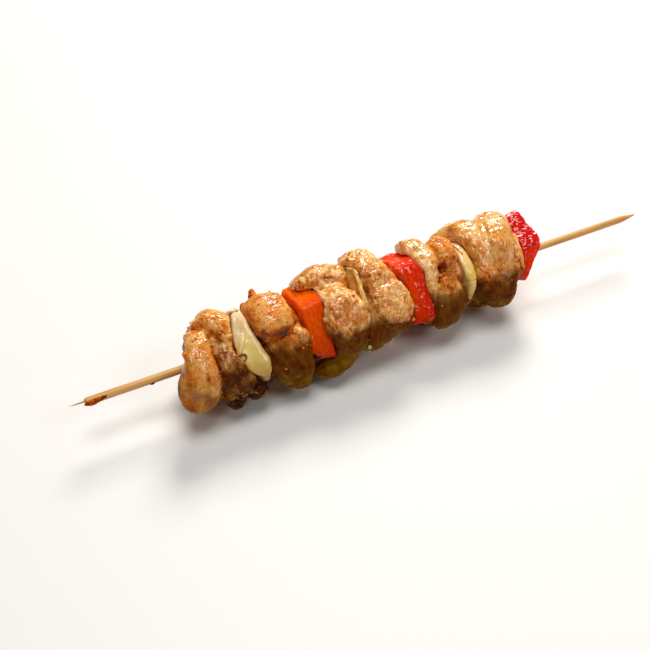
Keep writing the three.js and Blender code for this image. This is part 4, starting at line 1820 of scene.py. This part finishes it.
@dataclass
class Kebab:
    """The whole kebab on its stick. `trees` are the search trees of its pieces, by node, and
    `skins` the points and normals of its meat."""

    trees: dict[str, BVHTree] = field(default_factory=dict)
    skins: list[tuple[Rows, Rows]] = field(default_factory=list)

    def settle(self, name: str, mesh: Mesh, material: Material, node: str = "") -> None:
        """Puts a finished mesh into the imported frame.

        Args:
            name: The piece's name.
            mesh: Its mesh, in millimetres round the stick.
            material: Its finish.
            node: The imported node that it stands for, if any.
        """
        move_points(mesh, (points_of(mesh) + MIDDLE) * MM)
        mesh.name = name
        mesh.shade_smooth()
        mesh.materials.clear()
        mesh.materials.append(material)
        thing = thing_of(name, mesh)
        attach(thing, "root")
        if node:
            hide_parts(node)
        mesh.calc_loop_triangles()
        log.info("%s: %d triangles", name, len(mesh.loop_triangles))

    def floor_cutter(self) -> Mesh:
        """A block whose top is the floor.

        Returns:
            The closed mesh that is cut away.
        """
        mesh = block(1)
        move_points(mesh, points_of(mesh) * (150, 60, 20) - (0, 0, 20 + FLOOR_DEPTH))
        return mesh

    def build(self) -> None:
        """Makes every piece."""
        meat, stick = MeatFinish().material(), Stick()
        rod_mesh = stick.build()
        firm = [(square, square.build()) for square in (*PEPPERS, *ONIONS)]
        self.trees |= {square.node: tree_of(mesh) for square, mesh in firm}
        self.fill(meat, tree_of(rod_mesh))
        pepper, onion = PepperFinish().material(), OnionFinish().material()
        kinds = {"pepper": ("red_square", pepper), "onion": ("petal", onion)}
        for square, mesh in firm:
            kind, number = square.node.split("_")
            name, finish = kinds[kind]
            self.settle(f"{name}_{number}", mesh, finish, square.node)
        self.settle("bamboo_rod", rod_mesh, BambooFinish().material(), stick.node)
        self.settle("stuck_scrap", stick.scrap(), meat, stick.node)
        self.scatter()
        self.stick_on()

    def fill(self, meat: Material, rod_tree: BVHTree) -> None:
        """Makes the chunks of meat, each pressed against the stick and all that is beside it.

        Args:
            meat: Their finish.
            rod_tree: The search tree of the stick.
        """
        before: list[tuple[Mesh, BVHTree]] = []
        for chunk in CHUNKS:
            low, high = chunk.reach()
            beside = [s for s in (*PEPPERS, *ONIONS) if low - NEARBY < s.x < high + NEARBY]
            cutters = [self.floor_cutter(), *(s.cutter() for s in beside), *(mesh for mesh, _ in before)]
            neighbours = [*(self.trees[s.node] for s in beside), rod_tree, *(tree for _, tree in before)]
            mesh = chunk.build(cutters, neighbours)
            before = [(mesh.copy(), tree_of(mesh))]
            self.trees[chunk.node] = before[0][1]
            self.skins.append((points_of(mesh), points_of(mesh, "normal")))
            self.settle(chunk.node.replace("chicken", "meat"), mesh, meat, chunk.node)

    def scatter(self) -> None:
        """Strews grains over the upper sides of the meat."""
        points, normals = (np.vstack(rows) for rows in zip(*self.skins))
        seen = (normals[:, 2] > -0.2) & (points[:, 2] > -9)
        for bits in BITS:
            self.settle(bits.name, bits.build(points[seen], normals[seen]), bits.finish.material())

    def stick_on(self) -> None:
        """Adds the burnt onion ring, the crumb and the drop that hang on the front."""
        burnt = BitFinish("burnt_onion", "#4c1a04", "#a8540e", 0.8)
        orange = BitFinish("orange_crumb", "#d8690e", "#f0a040")
        juice = BitFinish("juice_drop", "#b8ac50", "#d8cc80", 1.0)
        things = (
            ("char_ring", -63.9, 58, ring(1.25, 0.36), 0.3, burnt, "onion"),
            ("crumb", 2.6, 80, ball(3), 0.2, orange, "chicken"),
            ("drop", -15.6, 103, ball(3), 0.1, juice, "chicken"),
        )
        for name, x, angle, mesh, lift, finish, slot in things:
            spot, out = landing(self.trees.values(), x, angle)
            body = points_of(mesh)
            if name != "char_ring":
                body *= 0.8 + 0.4 * grain(body, 0.9, 3.0)[:, None]
            turn = np.array(out.to_track_quat("Z", "X").to_matrix())
            move_points(mesh, body @ turn.T + np.array(spot + out * lift))
            self.settle(name, mesh, finish.material())


def main() -> None:
    """Builds the studio and the kebab, and reports each piece."""
    logging.basicConfig(level=logging.INFO, format="%(name)s: %(message)s")
    Studio().build()
    Kebab().build()
    boxes = {"solids": SOLID_BOX, "scene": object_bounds()}
    boxes = {name: [list(corner) for corner in box] for name, box in boxes.items()}


if __name__ == "__main__":
    main()
